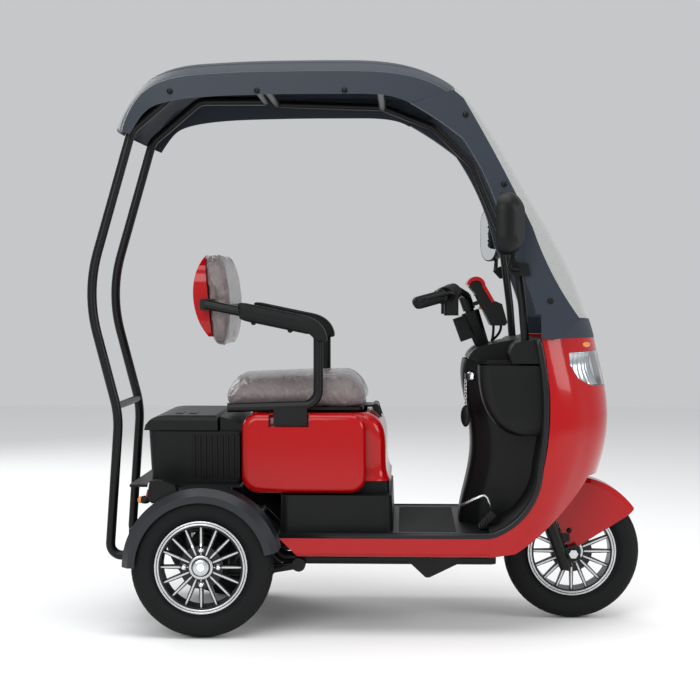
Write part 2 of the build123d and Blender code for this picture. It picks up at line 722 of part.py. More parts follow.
house_outer = house_loft(0, 0)
house_inner = house_loft(SKIN, 0.5)
with BuildPart() as house:
    add(house_outer)
    add(house_inner, mode=Mode.SUBTRACT)
    with BuildSketch(Plane.XY.offset(HOUSE_LOW_Z - 1)):
        with Locations((-134, 0)):
            RectangleRounded(398, 440, 36)
    extrude(amount=2, mode=Mode.SUBTRACT)
keep(house.part, "seat_housing")

# Steel lugs under the seat arms drop into a notch in the top of each side panel
LUG_REAR_X = -270.0
LUG_FRONT_X = -172.0
LUG_LOW_Z = 607.0
with BuildPart() as side_panels:
    with BuildSketch(Plane.XZ.offset(226.6)):
        with Locations((-182, 524)):
            RectangleRounded(362, 234, 48)
    extrude(amount=35.4)
    fillet(side_panels.faces().sort_by(Axis.Y)[0].edges(), 22)
    with BuildSketch(Plane.XZ.offset(220)):
        Polygon(
            (LUG_REAR_X - 14, LUG_LOW_Z - MOVE_GAP), (LUG_FRONT_X + MOVE_GAP, LUG_LOW_Z - MOVE_GAP),
            (LUG_FRONT_X + MOVE_GAP, SEAT_TOP_Z), (LUG_REAR_X - 14, SEAT_TOP_Z), align=None,
        )
    extrude(amount=50, mode=Mode.SUBTRACT)
    mirror(about=Plane.XZ)
keep(side_panels.part, "seat_side_panels")

with BuildPart() as battery:
    with BuildSketch(Plane.XY.offset(FLOOR_Z + SEAM + SKIN)):
        with Locations((-96, 0)):
            RectangleRounded(270, 350, 8)
    extrude(amount=220)
keep(battery.part, "battery_pack")

# Rear deck, box and hinged lid
BOX_REAR_X = -645.0
BOX_FRONT_X = -350.0
BOX_HALF = 210.0
LID_Z = 586.0
LID_TOP_Z = LID_Z + 45
LID_FRONT_X = -438.0
LID_PIN_X = -664.0
LID_PIN_Z = 590.0
LID_EAR_Y = 60.0
with BuildPart() as deck:
    with BuildSketch(Plane.XY.offset(DECK_Z - 8)):
        Polygon((-690, -263.6), (-366, -263.6), (-366, 263.6), (-690, 263.6), align=None)
    extrude(amount=8 - SEAM)
keep(deck.part, "rear_deck")

with BuildPart() as box:
    with BuildSketch(Plane.XY.offset(DECK_Z)):
        with Locations(((BOX_REAR_X + BOX_FRONT_X) / 2, 0)):
            RectangleRounded(BOX_FRONT_X - BOX_REAR_X - 16, 2 * BOX_HALF - 16, 26)
    with BuildSketch(Plane.XY.offset(LID_Z - SEAM - 2)):
        with Locations(((BOX_REAR_X + BOX_FRONT_X) / 2, 0)):
            RectangleRounded(BOX_FRONT_X - BOX_REAR_X, 2 * BOX_HALF, 30)
    loft()
    with BuildSketch(Plane.XZ):
        Polygon(
            (LID_FRONT_X + 6, LID_Z - 20), (BOX_FRONT_X - 10, LID_Z - 20), (BOX_FRONT_X - 10, 604),
            (-385, 612), (LID_FRONT_X + 6, 628), align=None,
        )
    extrude(amount=BOX_HALF - 12, both=True)
    with BuildSketch(Plane.XY.offset(DECK_Z + SKIN)):
        with Locations(((BOX_REAR_X + LID_FRONT_X) / 2 + 2, 0)):
            RectangleRounded(LID_FRONT_X - BOX_REAR_X - 32, 2 * BOX_HALF - 34, 18)
    extrude(amount=300, mode=Mode.SUBTRACT)
    with BuildSketch(Plane.XZ.offset(LID_EAR_Y)):
        with Locations((LID_PIN_X, LID_PIN_Z)):
            Circle(6)
        Polygon((-641, 550), (-641, 576), (-657, 583), (-660, 594), (LID_PIN_X - 6, LID_PIN_Z), align=None)
    extrude(amount=6)
    with BuildSketch(Plane.XZ.offset(LID_EAR_Y + 5)):
        with Locations((LID_PIN_X, LID_PIN_Z)):
            Circle(3)
    extrude(amount=40)
    mirror(about=Plane.XZ)
keep(box.part, "rear_box")

with BuildPart() as lid:
    with BuildSketch(Plane.XZ):
        with BuildLine():
            Polyline((LID_FRONT_X, LID_Z + 1), (LID_FRONT_X, LID_TOP_Z - 7), (LID_FRONT_X - 8, LID_TOP_Z))
            Polyline((LID_FRONT_X - 8, LID_TOP_Z), (-590, LID_TOP_Z), (-613, 628))
            RadiusArc((-613, 628), (-655, 588), -48)
            Polyline((-655, 588), (-655, LID_Z + 1), (LID_FRONT_X, LID_Z + 1))
        make_face()
    extrude(amount=BOX_HALF + 4, both=True)
    fillet(lid.edges().filter_by(Axis.X).group_by(Axis.Z)[-1], 16)
    with BuildSketch(Plane.XY.offset(LID_Z)):
        with Locations(((BOX_REAR_X + LID_FRONT_X) / 2 - 2, 0)):
            RectangleRounded(LID_FRONT_X - BOX_REAR_X - 10, 2 * BOX_HALF - 10, 20)
    extrude(amount=30, mode=Mode.SUBTRACT)
    with BuildSketch(Plane.XZ.offset(LID_EAR_Y + 8)):
        with Locations((LID_PIN_X, LID_PIN_Z)):
            Circle(7)
        Polygon((LID_PIN_X, 597), (-651, 607), (-651, 593), (LID_PIN_X + 5, 590), align=None)
    extrude(amount=34)
    with BuildSketch(Plane.XZ.offset(LID_EAR_Y)):
        with Locations((LID_PIN_X, LID_PIN_Z)):
            Circle(3 + RUN_FIT)
    extrude(amount=50, mode=Mode.SUBTRACT)
    mirror(about=Plane.XZ)
keep(lid.part, "rear_box_lid")

# Rear fenders: a rolled arch with a turned-down outer lip, lamp block on the back
FENDER_R = WHEEL_R + 22
FENDER_IN = 264.0
FENDER_OUT = 380.0
LIP_R = WHEEL_R - 18
rear_axis = Axis((REAR_AXLE_X, 0, WHEEL_R), (0, 1, 0))
with BuildPart() as fenders:
    with BuildSketch(Plane(origin=(REAR_AXLE_X, 0, WHEEL_R), x_dir=(-1, 0, 0), z_dir=(0, 0, -1))):
        Polygon(
            (FENDER_R - 5, FENDER_IN), (FENDER_R - 5, FENDER_OUT - 26), (FENDER_R - 22, FENDER_OUT - 6),
            (LIP_R, FENDER_OUT - 5), (LIP_R, FENDER_OUT), (FENDER_R - 20, FENDER_OUT),
            (FENDER_R, FENDER_OUT - 24), (FENDER_R, FENDER_IN), align=None,
        )
    revolve(axis=rear_axis, revolution_arc=168)
    mirror(about=Plane.XZ)
keep(fenders.part, "rear_fenders")

with BuildPart() as tail_lamps:
    with BuildSketch(Plane.XZ.offset(300)):
        with Locations((REAR_AXLE_X, WHEEL_R)):
            Polygon(
                (-156, 196), (-148, 246), (-112, 248), (-76, 234), (-70, 212), (-120, 182), (-142, 182),
                align=None,
            )
    extrude(amount=46)
    with BuildSketch(Plane.XZ.offset(290)):
        with Locations((REAR_AXLE_X, WHEEL_R)):
            Circle(FENDER_R + SEAM)
    extrude(amount=80, mode=Mode.SUBTRACT)
    mirror(about=Plane.XZ)
keep(tail_lamps.part, "tail_lamps")

# Seat: pan with two bent arm tubes, cushion, arm pads, back shell and back pad
ARM_OUT = 240.0
PAN_Z = SEAT_TOP_Z + 1
BACK_HALF = 195.0
HINGE_X = 24.0
HINGE_Z = PAN_Z
HINGE_HALF = 60.0
arm_tube_path = [
    (-470, -ARM_OUT, 958), (-140, -ARM_OUT, 890), (-140, -ARM_OUT, 664), (-405, -ARM_OUT, 656),
]
right_arm_tube = tube(arm_tube_path, 45, ARM_R)
with BuildPart() as seat_frame:
    add(right_arm_tube)
    with BuildSketch(Plane.XZ.offset(180)):
        with Locations((-380, PAN_Z + 4), (-215, PAN_Z + 4)):
            Rectangle(30, 8)
    extrude(amount=ARM_OUT - 180)
    with BuildSketch(Plane.XZ.offset(ARM_OUT - 10)):
        Polygon(
            (LUG_REAR_X, LUG_LOW_Z), (LUG_FRONT_X, LUG_LOW_Z), (LUG_FRONT_X, PAN_Z + 10),
            (LUG_REAR_X, PAN_Z + 10), align=None,
        )
    extrude(amount=24)
    with BuildSketch(Plane.XZ.offset(BACK_HALF + SEAM)):
        with Locations((-466, 957)):
            RectangleRounded(40, 34, 6)
    extrude(amount=ARM_OUT - BACK_HALF)
    mirror(about=Plane.XZ)
    with BuildSketch(Plane.XY.offset(PAN_Z)):
        with Locations((-210, 0)):
            RectangleRounded(400, 396, 30)
    extrude(amount=8)
    with BuildSketch(Plane.XZ.offset(-HINGE_HALF)):
        with Locations((HINGE_X, HINGE_Z)):
            Circle(9)
        Polygon((-30, PAN_Z), (HINGE_X, PAN_Z), (HINGE_X, PAN_Z + 6), (-30, PAN_Z + 6), align=None)
    extrude(amount=2 * HINGE_HALF)
    with BuildSketch(Plane.XZ.offset(-HINGE_HALF - 1)):
        with Locations((HINGE_X, HINGE_Z)):
            Circle(5 + RUN_FIT)
    extrude(amount=2 * HINGE_HALF + 2, mode=Mode.SUBTRACT)
keep(seat_frame.part, "seat_frame")

CUSHION_ROWS = (
    (PAN_Z + 8 + SEAM, -412.0, -8.0, 200.0),
    (690.0, -422.0, 6.0, 210.0),
    (728.0, -412.0, -8.0, 206.0),
    (752.0, -380.0, -50.0, 170.0),
)
with BuildPart() as seat_hinge:
    with BuildSketch(Plane.XZ.offset(HINGE_HALF + 1)):
        with Locations((HINGE_X, HINGE_Z)):
            Circle(10)
        Polygon((HINGE_X - 10, HINGE_Z), (HINGE_X + 10, HINGE_Z), (44, 617), (38, 617), align=None)
    extrude(amount=9)
    mirror(about=Plane.XZ)
    with BuildSketch(Plane.XZ.offset(-HINGE_HALF - 8)):
        with Locations((HINGE_X, HINGE_Z)):
            Circle(5)
    extrude(amount=2 * HINGE_HALF + 16)
keep(seat_hinge.part, "seat_hinge")

with BuildPart() as cushion:
    for z, rear, front, half in CUSHION_ROWS:
        with BuildSketch(Plane.XY.offset(z)):
            with Locations(((rear + front) / 2, 0)):
                RectangleRounded(front - rear, 2 * half, 60)
    loft()
keep(cushion.part, "seat_cushion")

with BuildPart() as back_shell:
    with BuildSketch(Plane.XZ):
        with BuildLine():
            ThreePointArc((-480, 1104), (-511, 1010), (-468, 862))
            Line((-468, 862), (-458, 862))
            ThreePointArc((-458, 862), (-470, 1000), (-480, 1104))
        make_face()
    extrude(amount=BACK_HALF, both=True)
    with BuildSketch(Plane.YZ):
        with Locations((0, 970)):
            RectangleRounded(2 * BACK_HALF, 268, 80)
    extrude(amount=-700, mode=Mode.INTERSECT)
keep(back_shell.part, "backrest_shell")

with BuildPart() as back_pad:
    with BuildSketch(Plane.XZ):
        with BuildLine():
            ThreePointArc((-457, 862), (-469, 1000), (-479, 1104))
            Line((-479, 1104), (-440, 1113))
            ThreePointArc((-440, 1113), (-412, 960), (-424, 828))
            Polyline((-424, 828), (-450, 836), (-457, 862))
        make_face()
    extrude(amount=BACK_HALF, both=True)
    with BuildSketch(Plane.YZ):
        with Locations((0, 970)):
            RectangleRounded(2 * BACK_HALF, 288, 80)
    extrude(amount=-700, mode=Mode.INTERSECT)
keep(back_pad.part, "backrest_pad")

arm_bore = tube(arm_tube_path, 45, ARM_R + SEAM)
with BuildPart() as arm_pads:
    with BuildSketch(Plane.XZ.offset(ARM_OUT - 28)):
        with BuildLine():
            Polyline((-373, 964), (-180, 924))
            ThreePointArc((-180, 924), (-132, 900), (-112, 850))
            Polyline((-112, 850), (-142, 850), (-165, 872), (-368, 914), (-373, 964))
        make_face()
    extrude(amount=56)
    fillet(arm_pads.edges().filter_by(GeomType.LINE).group_by(Axis.Z)[-1], 2)
    add(arm_bore, mode=Mode.SUBTRACT)
    mirror(about=Plane.XZ)
keep(arm_pads.part, "armrest_pads")

# Fork, front axle and fender
GUARD_OUT = 52.0
LEG_Y = 66.0
LEG_X = 8.0
LUG_Z = AXLE_IN_STEER.Z
LUG_REACH = AXLE_IN_STEER.X + 18.4
CROWN_Z = LUG_Z + 240.0
with BuildPart() as fork:
    with BuildSketch(steer_plane(LEG_X, -LEG_Y, LUG_Z - 36)):
        Circle(19)
    extrude(amount=150)
    with BuildSketch(steer_plane(LEG_X, -LEG_Y, LUG_Z + 100)):
        Circle(15)
    extrude(amount=CROWN_Z - LUG_Z - 90)
    with BuildSketch(steer_plane(0, -LEG_Y, LUG_Z - 24)):
        with Locations((LUG_REACH / 2, 0)):
            RectangleRounded(LUG_REACH, 22, 5)
    extrude(amount=48)
    with BuildSketch(Plane.XZ.offset(GUARD_OUT + SEAM)):
        with Locations((FRONT_AXLE_X - 32, WHEEL_R + 45)):
            Rectangle(44, 22)
    extrude(amount=10)
    mirror(about=Plane.XZ)
    with BuildSketch(steer_plane(0, 0, CROWN_Z)):
        with Locations((4, 0)):
            RectangleRounded(52, 2 * LEG_Y + 44, 14)
    extrude(amount=22)
    with BuildSketch(steer_plane(0, 0, CROWN_Z)):
        Circle(STEM_R)
    extrude(amount=118 - CROWN_Z)
    with BuildSketch(Plane.XZ.offset(-120)):
        with Locations((FRONT_AXLE_X, WHEEL_R)):
            Circle(AXLE_R + SEAM)
    extrude(amount=240, mode=Mode.SUBTRACT)
keep(fork.part, "front_fork")

with BuildPart() as front_axle:
    with BuildSketch(Plane.XZ.offset(-88)):
        with Locations((FRONT_AXLE_X, WHEEL_R)):
            Circle(AXLE_R)
    extrude(amount=176)
    for y in (-78 - SEAM, 88):
        with BuildSketch(Plane.XZ.offset(-y)):
            with Locations((FRONT_AXLE_X, WHEEL_R)):
                RegularPolygon(14, 6)
        extrude(amount=10 - SEAM)
keep(front_axle.part, "front_axle")

GUARD_R = WHEEL_R + 24
GUARD_IN = 47.0
START = radians(125)
guard_plane = Plane(
    origin=(FRONT_AXLE_X, 0, WHEEL_R), x_dir=(cos(START), 0, sin(START)), z_dir=(-sin(START), 0, cos(START)),
)
with BuildPart() as guard:
    with BuildSketch(guard_plane):
        Polygon(
            (20, -GUARD_OUT), (GUARD_R - 14, -GUARD_OUT), (GUARD_R, 14 - GUARD_OUT),
            (GUARD_R, GUARD_OUT - 14), (GUARD_R - 14, GUARD_OUT), (20, GUARD_OUT), (20, GUARD_IN),
            (GUARD_R - 17, GUARD_IN),
            (GUARD_R - 5, GUARD_IN - 11), (GUARD_R - 5, 11 - GUARD_IN), (GUARD_R - 17, -GUARD_IN),
            (20, -GUARD_IN), align=None,
        )
    revolve(axis=Axis((FRONT_AXLE_X, 0, WHEEL_R), (0, 1, 0)), revolution_arc=100)
    with BuildSketch(Plane.XZ):
        with Locations((FRONT_AXLE_X, WHEEL_R)):
            Polygon(
                (-17, 18), (21, 21), (166, 112), (186, 130), (186, 274), (-120, 274), (-92, 222), (-43, 90),
                align=None,
            )
    extrude(amount=80, both=True, mode=Mode.INTERSECT)
keep(guard.part, "front_fender")

# Handlebar with grips, levers, red cowl, instrument panel and the column gaiter
bar_path = [
    (152, -303, 962), (226, -218, 982), (268, -150, 1000), (297, -60, 984),
    (297, 60, 984), (268, 150, 1000), (226, 218, 982), (152, 303, 962),
]
bar = tube(bar_path, 28, BAR_R)
with BuildPart() as handlebar:
    add(bar)
    with BuildSketch(STEER.offset(118 + SEAM)):
        Circle(19)
    extrude(amount=44)
    with BuildSketch(steer_plane(0, 0, 124)):
        with Locations((20, 0)):
            Rectangle(40, 24)
    extrude(amount=12)
keep(handlebar.part, "handlebar")

grip_start = Vector(222, -222.6, 981)
grip_end = Vector(150, -305.3, 961.5)
grip_plane = Plane(origin=grip_end, z_dir=grip_start - grip_end)
with BuildPart() as grips:
    with BuildSketch(grip_plane.offset(-5)):
        Circle(16.5)
    extrude(amount=118)
    with BuildSketch(grip_plane):
        Circle(BAR_R + SEAM)
    extrude(amount=130, mode=Mode.SUBTRACT)
    mirror(about=Plane.XZ)
keep(grips.part, "grips")

right_lever = tube([(258, -200, 988), (238, -262, 990), (168, -338, 972)], 30, 5.5)
with BuildPart() as levers:
    add(right_lever)
    with BuildSketch(Plane.XY.offset(925)):
        with Locations((248, -190)):
            RectangleRounded(42, 40, 10)
    extrude(amount=72)
    with BuildSketch(Plane(origin=(230, -211.5, 983.7), z_dir=(42, 68, 18))):
        Circle(25)
    extrude(amount=52)
    add(bar, mode=Mode.SUBTRACT)
    mirror(about=Plane.XZ)
keep(levers.part, "brake_levers")

COWL_HALF = 82.0
with BuildPart() as headset:
    with BuildSketch(Plane.XZ):
        with BuildLine():
            ThreePointArc((298, 1018), (330, 1040), (354, 1014))
            Polyline((354, 1014), (381, 967), (373, 962), (345, 1009))
            ThreePointArc((345, 1009), (327, 1029), (306, 1011))
            Line((306, 1011), (298, 1018))
        make_face()
    extrude(amount=COWL_HALF, both=True)
keep(headset.part, "headset_cowl")

POD_LOW_Z = 893.0
with BuildPart() as panel:
    with BuildSketch(Plane.XZ):
        with BuildLine():
            ThreePointArc((306.5, 1010.6), (327, 1028.5), (344.5, 1008.7))
            Polyline((344.5, 1008.7), (372.6, 961.6), (384, 967), (404, 958), (420, 902), (413, POD_LOW_Z))
            Polyline((413, POD_LOW_Z), (372, POD_LOW_Z), (350, 938), (324, 990), (306.5, 1010.6))
        make_face()
    extrude(amount=COWL_HALF - 6, both=True)
    with BuildSketch(steer_plane(0, 0, 124 - SEAM)):
        with Locations((20, 0)):
            Rectangle(40 + SEAM, 24 + 2 * SEAM)
    extrude(amount=12 + 2 * SEAM, mode=Mode.SUBTRACT)
keep(panel.part, "instrument_panel")

# Cover round the stem with a small control box on its back, and the two cables from the pod
COVER_TOP = 112.0
with BuildPart() as column_cover:
    with BuildSketch(STEER.offset(2 + SEAM)):
        RectangleRounded(42, 50, 12)
    with BuildSketch(STEER.offset(COVER_TOP)):
        RectangleRounded(54, 84, 16)
    loft()
    with BuildSketch(steer_plane(-36, -12, 36)):
        RectangleRounded(44, 60, 8)
    extrude(amount=72)
    with BuildSketch(STEER):
        Circle(STEM_R + SEAM)
    extrude(amount=COVER_TOP + 10, mode=Mode.SUBTRACT)
    with BuildSketch(Plane.XZ):
        Polygon((372, POD_LOW_Z - 6), (346, 938), (320, 990), (400, 990), (430, POD_LOW_Z - 6), align=None)
    extrude(amount=COWL_HALF, both=True, mode=Mode.SUBTRACT)
keep(column_cover.part, "column_cover")

CABLE_R = 4.0
cable_runs = (
    [(381, -20, POD_LOW_Z - SEAM), (382, -20, 866), tuple(STEER.from_local_coords(Vector(31, -14, 5.4)))],
    [(406, 16, POD_LOW_Z - SEAM), (408, 16, 868), tuple(STEER.from_local_coords(Vector(33, 12, 6.4)))],
)
with BuildPart() as cables:
    for run in cable_runs:
        add(tube(run, 20, CABLE_R))
keep(cables.part, "control_cables")

with BuildPart() as gaiter:
    with BuildSketch(STEER.offset(-6)):
        Circle(38)
        Circle(STEM_R + SEAM, mode=Mode.SUBTRACT)
    extrude(amount=8)
keep(gaiter.part, "column_gaiter")

# Mirrors on the pillars
mirror_stalk_path = [
    (440, -PILLAR_OUT - 4, 1056), (408, -PILLAR_OUT - 40, 1060), (407, -PILLAR_OUT - 77, 1116),
]
mirror_stalk = tube(mirror_stalk_path, 20, 7)
mirror_face = Plane(origin=(388, -PILLAR_OUT - 84, 1184), x_dir=(0.454, -0.891, 0), z_dir=(0.891, 0.454, 0))
# Columns: distance ahead of the glass, width, height, corner radius
MIRROR_ROWS = (
    (0.0, 108.0, 176.0, 52.0),
    (24.0, 102.0, 170.0, 49.0),
    (52.0, 56.0, 112.0, 26.0),
)
with BuildPart() as mirrors:
    for ahead, wide, tall, corner in MIRROR_ROWS:
        with BuildSketch(mirror_face.offset(ahead)):
            RectangleRounded(wide, tall, corner)
    loft()
    add(mirror_stalk)
    with BuildSketch(Plane.XZ.offset(PILLAR_OUT + SEAM)):
        Polygon((398, 1062), (420, 1078), (462, 1074), (468, 1040), (420, 1038), align=None)
    extrude(amount=12)
    mirror(about=Plane.XZ)
keep(mirrors.part, "mirrors")

# Brake pedal on the floor
with BuildPart() as pedal:
    with BuildSketch(Plane.XZ.offset(170)):
        Polygon((330, 306), (342, 304), (380, 344), (370, 352), align=None)
    extrude(amount=70)
    with BuildSketch(Plane.XZ.offset(195)):
        Polygon((338, FLOOR_Z + SEAM), (350, FLOOR_Z + SEAM), (358, 330), (348, 326), align=None)
    extrude(amount=20)
keep(pedal.part, "brake_pedal")

# Brake linkage under the floor: bell crank on the right rail, pull rod and the link to the pedal
LINK_Y = RAIL_Y + RAIL_R + 7
with BuildPart() as linkage:
    with BuildSketch(Plane.XZ.offset(LINK_Y)):
        Polygon(
            (116, 206), (174, 152), (186, 152), (280, 198), (280, 214), (190, 214), (124, 220), align=None,
        )
    extrude(amount=6)
    with BuildSketch(Plane.XZ.offset(RAIL_Y + RAIL_R + SEAM)):
        with Locations((180, RAIL_Z)):
            Circle(9)
    extrude(amount=18)
    with BuildSketch(Plane.YZ):
        with Locations((-LINK_Y - 3, 211)):
            Circle(5)
    extrude(amount=124)
    with BuildSketch(Plane.XY.offset(206)):
        with Locations((272, -LINK_Y - 3)):
            Circle(5)
    extrude(amount=FLOOR_Z - FLOOR_T - SEAM - 206)
keep(linkage.part, "brake_linkage")
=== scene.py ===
import bmesh
import bpy
import math
from mathutils import Matrix, Vector
from mathutils.bvhtree import BVHTree


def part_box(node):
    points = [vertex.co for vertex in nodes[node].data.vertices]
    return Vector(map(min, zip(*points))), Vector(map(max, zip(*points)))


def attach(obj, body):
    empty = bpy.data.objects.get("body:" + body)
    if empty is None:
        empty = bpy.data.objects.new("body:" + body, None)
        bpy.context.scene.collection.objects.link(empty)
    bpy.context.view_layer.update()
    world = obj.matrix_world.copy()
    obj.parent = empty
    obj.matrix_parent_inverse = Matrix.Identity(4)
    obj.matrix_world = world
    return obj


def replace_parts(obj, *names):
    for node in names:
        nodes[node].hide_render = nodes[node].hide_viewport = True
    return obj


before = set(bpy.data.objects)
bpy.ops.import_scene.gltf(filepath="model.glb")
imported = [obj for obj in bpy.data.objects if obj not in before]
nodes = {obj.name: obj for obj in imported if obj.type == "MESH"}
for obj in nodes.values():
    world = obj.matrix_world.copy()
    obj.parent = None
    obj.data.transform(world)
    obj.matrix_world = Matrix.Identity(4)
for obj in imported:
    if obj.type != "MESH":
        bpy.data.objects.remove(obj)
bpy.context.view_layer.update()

scene = bpy.context.scene

# Studio: a sheet of pale paper under four softboxes: overhead, on the right, in front and behind.
# The camera stands 4.8 m off the right side, a little above half height, turned slightly left and down.
PAPER_HALF = 9.0
AIR_GLOW = 0.62
PHOTO_PX = 700.0
FOCAL_PX = 1569.0
SENSOR_MM = 36.0
CAMERA_PLACE = (0.1125, -4.8, 0.985)
CAMERA_LEFT = math.radians(2.007)
CAMERA_DOWN = math.radians(2.007)


def linear(code):
    # sRGB hex to linear RGBA
    parts = [int(code[i:i + 2], 16) / 255 for i in (1, 3, 5)]
    return tuple(c / 12.92 if c <= 0.04045 else ((c + 0.055) / 1.055) ** 2.4 for c in parts) + (1.0,)


def plain(name, colour, rough, **sockets):
    # One even material; a socket's name has underscores for its spaces
    material = bpy.data.materials.new(name)
    material.use_nodes = True
    shader = material.node_tree.nodes["Principled BSDF"]
    shader.inputs["Base Color"].default_value = linear(colour)
    shader.inputs["Roughness"].default_value = rough
    for key, value in sockets.items():
        shader.inputs[key.replace("_", " ")].default_value = value
    return material


def link(obj):
    scene.collection.objects.link(obj)
    return obj


def mesh_object(name, points, faces, material, smooth=True):
    mesh = bpy.data.meshes.new(name)
    mesh.from_pydata(points, [], faces)
    mesh.validate()
    mesh.materials.append(material)
    if smooth:
        mesh.polygons.foreach_set("use_smooth", [True] * len(mesh.polygons))
    return link(bpy.data.objects.new(name, mesh))


world = bpy.data.worlds.new("studio_air")
world.use_nodes = True
air = world.node_tree.nodes["Background"].inputs
air["Color"].default_value = linear("#f4f6f8")
air["Strength"].default_value = AIR_GLOW
scene.world = world
# Matt background paper: an even pale white with no gloss
studio_paper = plain("studio_paper", "#f3f3f3", 0.9)
paper_corners = [(x * PAPER_HALF, y * PAPER_HALF, 0) for x, y in ((-1, -1), (1, -1), (1, 1), (-1, 1))]
floor = mesh_object("studio_floor", paper_corners, [(0, 1, 2, 3)], studio_paper, False)
for lamp_name, place, aim, size, watts in (
    ("softbox_top", (0.0, -0.6, 4.2), (0.0, 0.0, 0.8), 3.6, 120),
    ("softbox_right", (-1.6, -4.4, 2.6), (0.0, 0.0, 0.8), 2.6, 85),
    ("softbox_front", (4.2, -2.0, 2.2), (0.0, 0.0, 0.8), 2.2, 70),
    ("softbox_back", (-3.0, 3.6, 3.0), (0.0, 0.0, 0.9), 2.6, 70),
):
    lamp = bpy.data.lights.new(lamp_name, "AREA")
    lamp.size = size
    lamp.energy = watts
    lamp_object = link(bpy.data.objects.new(lamp_name, lamp))
    lamp_object.location = place
    lamp_object.rotation_euler = (Vector(aim) - Vector(place)).to_track_quat("-Z", "Y").to_euler()
camera = bpy.data.cameras.new("camera")
camera.sensor_width = SENSOR_MM
camera.lens = SENSOR_MM * FOCAL_PX / PHOTO_PX
camera_object = link(bpy.data.objects.new("camera", camera))
camera_object.location = CAMERA_PLACE
camera_object.rotation_euler = (math.radians(90.0) - CAMERA_DOWN, 0.0, CAMERA_LEFT)
scene.camera = camera_object
scene.view_settings.view_transform = "Standard"

# Chassis, axle, fork and roof frame: bent and welded steel tube under black powder coat.
# The front axle is a bare turned steel bar, clamped in the fork ends.
MOTTLE_LOW = 0.3
MOTTLE_HIGH = 0.7


def add_node(tree, kind, inputs=None, **settings):
    node = tree.nodes.new(kind)
    for key, value in settings.items():
        setattr(node, key, value)
    for key, value in (inputs or {}).items():
        if isinstance(value, bpy.types.NodeSocket):
            tree.links.new(value, node.inputs[key])
        else:
            node.inputs[key].default_value = value
    return node


def mottle(tree, size_mm, detail):
    # Soft patches of a real size, fixed to the piece
    place = add_node(tree, "ShaderNodeTexCoord").outputs["Object"]
    sizes = {"Vector": place, "Scale": 1000.0 / size_mm, "Detail": detail}
    return add_node(tree, "ShaderNodeTexNoise", sizes).outputs["Fac"]


def grain(material, size_mm, depth_mm, detail=3.0):
    # Moulded or cast grain in the normal. The real one is mostly finer than 0.5 mm, which would not
    # show, so it is drawn at 0.8 mm or more
    tree = material.node_tree
    bump = add_node(tree, "ShaderNodeBump", {
        "Height": mottle(tree, size_mm, detail), "Distance": depth_mm / 1000.0, "Strength": 1.0,
    })
    tree.links.new(bump.outputs["Normal"], tree.nodes["Principled BSDF"].inputs["Normal"])
    return material


def uneven(material, size_mm, smooth, rough):
    # Handling and tool marks: the roughness wanders between two values. Real scratches are hair-fine;
    # they are drawn as patches of some millimetres so that they show
    tree = material.node_tree
    spread = add_node(tree, "ShaderNodeMapRange", {
        "Value": mottle(tree, size_mm, 4.0), "From Min": MOTTLE_LOW, "From Max": MOTTLE_HIGH,
        "To Min": smooth, "To Max": rough,
    })
    tree.links.new(spread.outputs["Result"], tree.nodes["Principled BSDF"].inputs["Roughness"])
    return material


def paint(material, *names):
    for name in names:
        mesh = nodes[name].data
        mesh.materials.clear()
        mesh.materials.append(material)


# Powder coat: satin black, its orange peel breaks up the highlights
coated_steel = grain(plain("powder_coated_steel", "#0b0c0d", 0.34, Specular_IOR_Level=0.25), 1.2, 0.05)
# Bare turned steel: a grey mirror, duller where it was handled
bright_steel = uneven(plain("bright_steel", "#c9cbcc", 0.25, Metallic=1.0), 6.0, 0.16, 0.36)
paint(
    coated_steel, "chassis_frame", "rear_posts", "front_roof_frame", "seat_frame", "front_fork", "handlebar",
    "rear_axle", "trailing_arms", "shock_absorbers", "seat_hinge", "brake_linkage", "brake_pedal",
)
paint(bright_steel, "front_axle")

# Wheels: 3.00-10 tyres with moulded tread blocks, on cast alloy rims painted black.
# The rim edge and the spoke faces are machined bright; four nuts and a cap hold each rear wheel.
WHEEL_R = 0.206
CROWN_DROP = 0.0095
CROWN_HALF = 0.032
TREAD_SKIM = 0.0004
TREAD_STEPS = 64
TREAD_STEP = 2 * math.pi / TREAD_STEPS
TURN_STEPS = 160
HUB_STEPS = 64
CAP_STEPS = 48
SPOKES = 16
NUTS = 4
NUT_SIDES = 12
NUT_CIRCLE_R = 0.050
FRONT_AXLE_X = 0.620
REAR_AXLE_X = -0.470
REAR_WHEEL_Y = 0.325
NO_TURN = (0, 0, 0)
# Tyre rubber: matt charcoal, with the grit of its mould
tyre_rubber = grain(plain("tyre_rubber", "#0e0f10", 0.7, Specular_IOR_Level=0.2), 2.0, 0.06)
# Painted casting: soft gloss black over a sandy skin
cast_alloy = grain(plain("black_cast_alloy", "#0c0d0e", 0.35, Metallic=0.3), 2.5, 0.12)
# Alloy cut on the lathe: bright silver, its gloss uneven from the tool
machined_alloy = uneven(plain("machined_alloy", "#c4c6c8", 0.3, Metallic=1.0), 5.0, 0.2, 0.4)
# Chrome plate: nearly a mirror, with faint wiping marks
chrome = uneven(plain("chrome_plate", "#e2e4e6", 0.1, Metallic=1.0), 8.0, 0.06, 0.16)
paint(tyre_rubber, "front_tyre", "rear_tyre_right", "rear_tyre_left")
paint(cast_alloy, "front_rim", "rear_rim_right", "rear_rim_left", "drive_motor")


def outward(obj):
    # Turns every face of a closed mesh to the outside
    shape = bmesh.new()
    shape.from_mesh(obj.data)
    bmesh.ops.recalc_face_normals(shape, faces=shape.faces)
    shape.to_mesh(obj.data)
    shape.free()
    return obj


